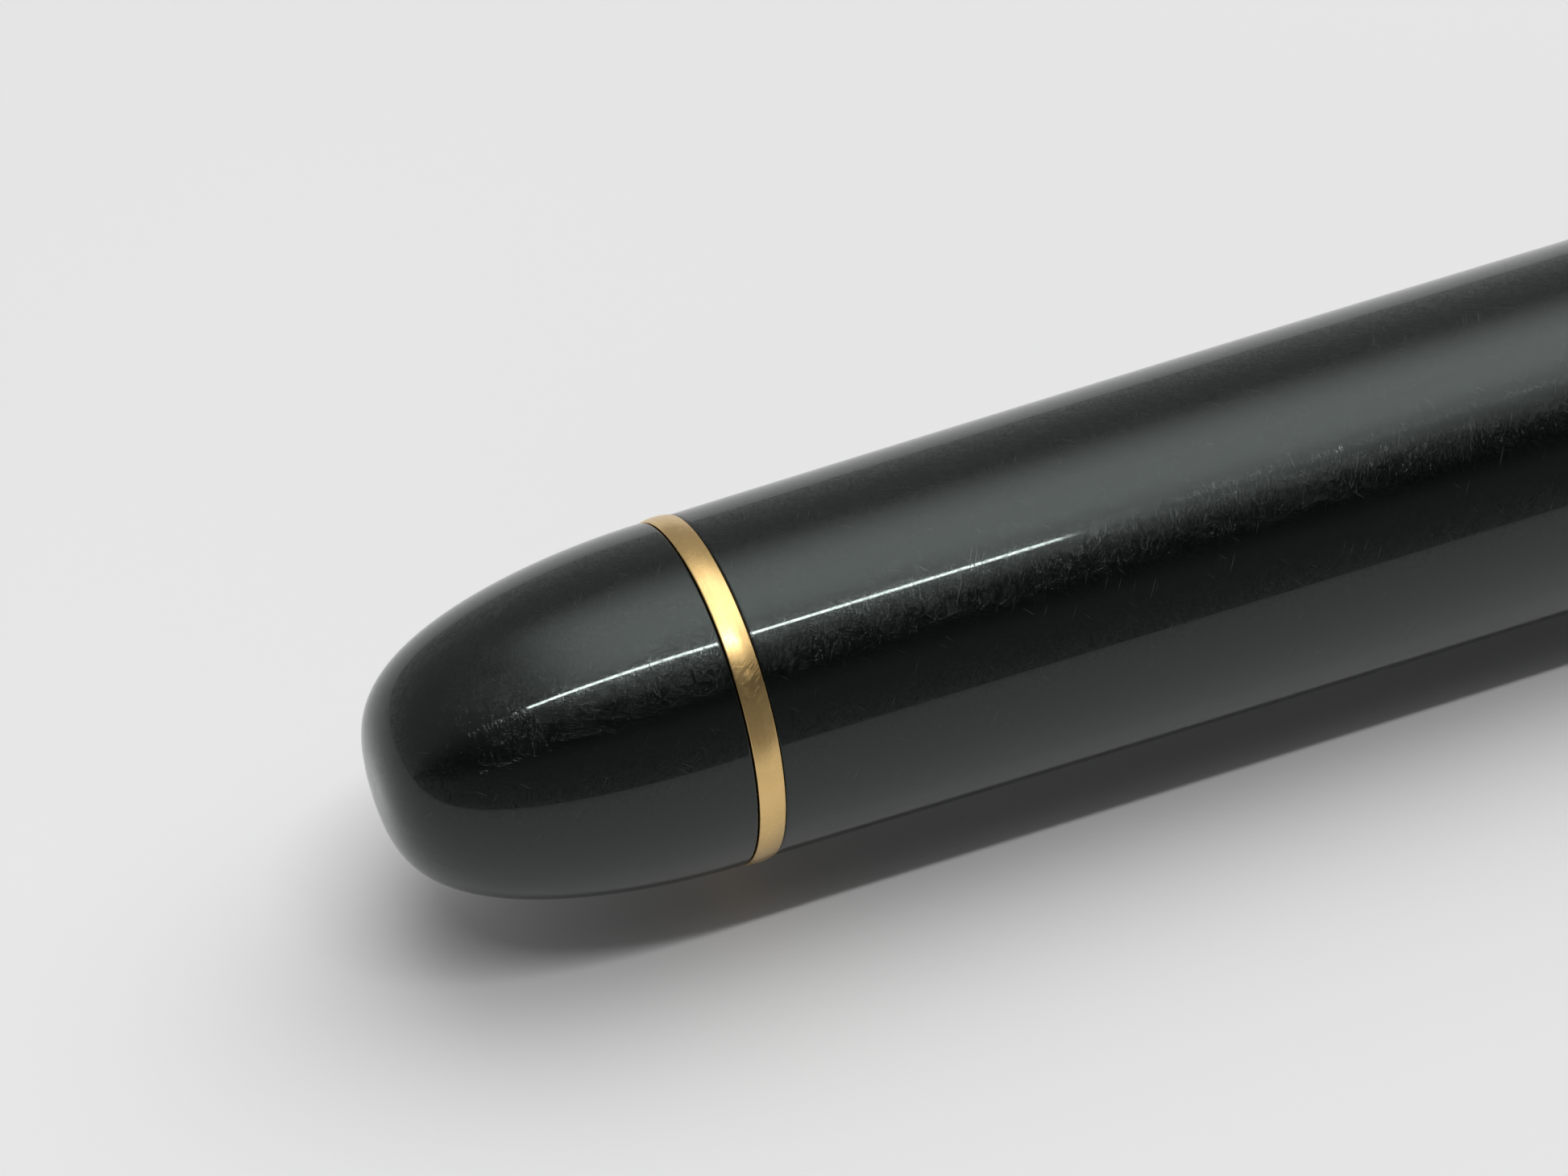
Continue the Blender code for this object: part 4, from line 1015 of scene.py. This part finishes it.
# Studio light. One large soft panel overhead, a little behind the pen, in a dim room that is darker in
# front. The world draws it, by direction: its angle goes from the front horizon over the top to the back.
BACK_LEVEL = 0.37               # brightness of the room behind the pen
DARK_LEVEL = 0.03               # between the room in front of it and the panel
FRONT_LEVEL = 0.16              # how much brighter than that the room in front is
PANEL_LEVEL = 2.1
PANEL_FRONT = (57, 94)          # angles, in degrees, over which the panel's front edge fades in
PANEL_BACK = (142, 106)         # and over which its back edge fades out
PANEL_LEFT = (-0.32, 0.0)       # and the sideways directions over which its ends fade
PANEL_RIGHT = (0.9, 0.7)
ROOM_BACK = (52, 95)            # angles over which the room behind fades in
ROOM_FRONT = (45, 28)           # and the room in front

world = bpy.data.worlds.new("studio")
bpy.context.scene.world = world
world.use_nodes = True
sky = world.node_tree
direction = add_node(
    sky, "ShaderNodeSeparateXYZ", {"Vector": add_node(sky, "ShaderNodeTexCoord").outputs["Generated"]}
)
forward = add_node(sky, "ShaderNodeMath", {0: direction.outputs["Y"], 1: -1.0}, operation="MULTIPLY")
over = add_node(
    sky, "ShaderNodeMath", {0: direction.outputs["Z"], 1: forward.outputs[0]}, operation="ARCTAN2"
).outputs[0]


def fade(value, start, end, level=1.0):
    """Runs smoothly from zero, where the value is at start, up to a level, where it is at end."""
    return add_node(
        sky,
        "ShaderNodeMapRange",
        {"Value": value, "From Min": start, "From Max": end, "To Max": level},
        interpolation_type="SMOOTHSTEP",
    ).outputs["Result"]


panel = fade(over, *map(math.radians, PANEL_FRONT))
for edge in (
    fade(over, *map(math.radians, PANEL_BACK)),
    fade(direction.outputs["X"], *PANEL_LEFT, PANEL_LEVEL),
    fade(direction.outputs["X"], *PANEL_RIGHT),
):
    panel = add_node(sky, "ShaderNodeMath", {0: panel, 1: edge}, operation="MULTIPLY").outputs[0]
level = panel
for part in (
    fade(over, *map(math.radians, ROOM_BACK), BACK_LEVEL - DARK_LEVEL),
    fade(over, *map(math.radians, ROOM_FRONT), FRONT_LEVEL),
    DARK_LEVEL,
):
    level = add_node(sky, "ShaderNodeMath", {0: level, 1: part}, operation="ADD").outputs[0]
background = sky.nodes["Background"]
background.inputs["Color"].default_value = from_hex("#FFFFFF")
sky.links.new(level, background.inputs["Strength"])

# A slim strip lamp in front of the panel draws a thin bright line along the gloss.
STRIP_DISTANCE = 0.6
STRIP_ANGLE = math.radians(74)  # above the front horizon
STRIP_LENGTH = 0.42
STRIP_WIDTH = 0.016
STRIP_POWER = 0.88
STRIP_X = -0.070
strip = bpy.data.objects.new("strip_lamp", bpy.data.lights.new("strip_lamp", "AREA"))
bpy.context.scene.collection.objects.link(strip)
strip.data.shape = "RECTANGLE"
strip.data.size = STRIP_LENGTH
strip.data.size_y = STRIP_WIDTH
strip.data.energy = STRIP_POWER
strip.location = (STRIP_X, -STRIP_DISTANCE * math.cos(STRIP_ANGLE), STRIP_DISTANCE * math.sin(STRIP_ANGLE))
strip.rotation_euler = (math.pi / 2 - STRIP_ANGLE, 0, 0)


# Camera. Close to the tail, looking down on it from the front left, with a long lens.
camera = bpy.data.objects.new("camera", bpy.data.cameras.new("camera"))
bpy.context.scene.collection.objects.link(camera)
camera.data.lens = 74.0
camera.data.clip_start = 0.005
camera.location = (-0.09724, -0.06352, 0.07901)
aim = Vector((-0.06633, 0.00953, 0))
camera.rotation_euler = (aim - camera.location).to_track_quat("-Z", "Y").to_euler()
bpy.context.scene.camera = camera
bpy.context.scene.view_settings.view_transform = "Standard"
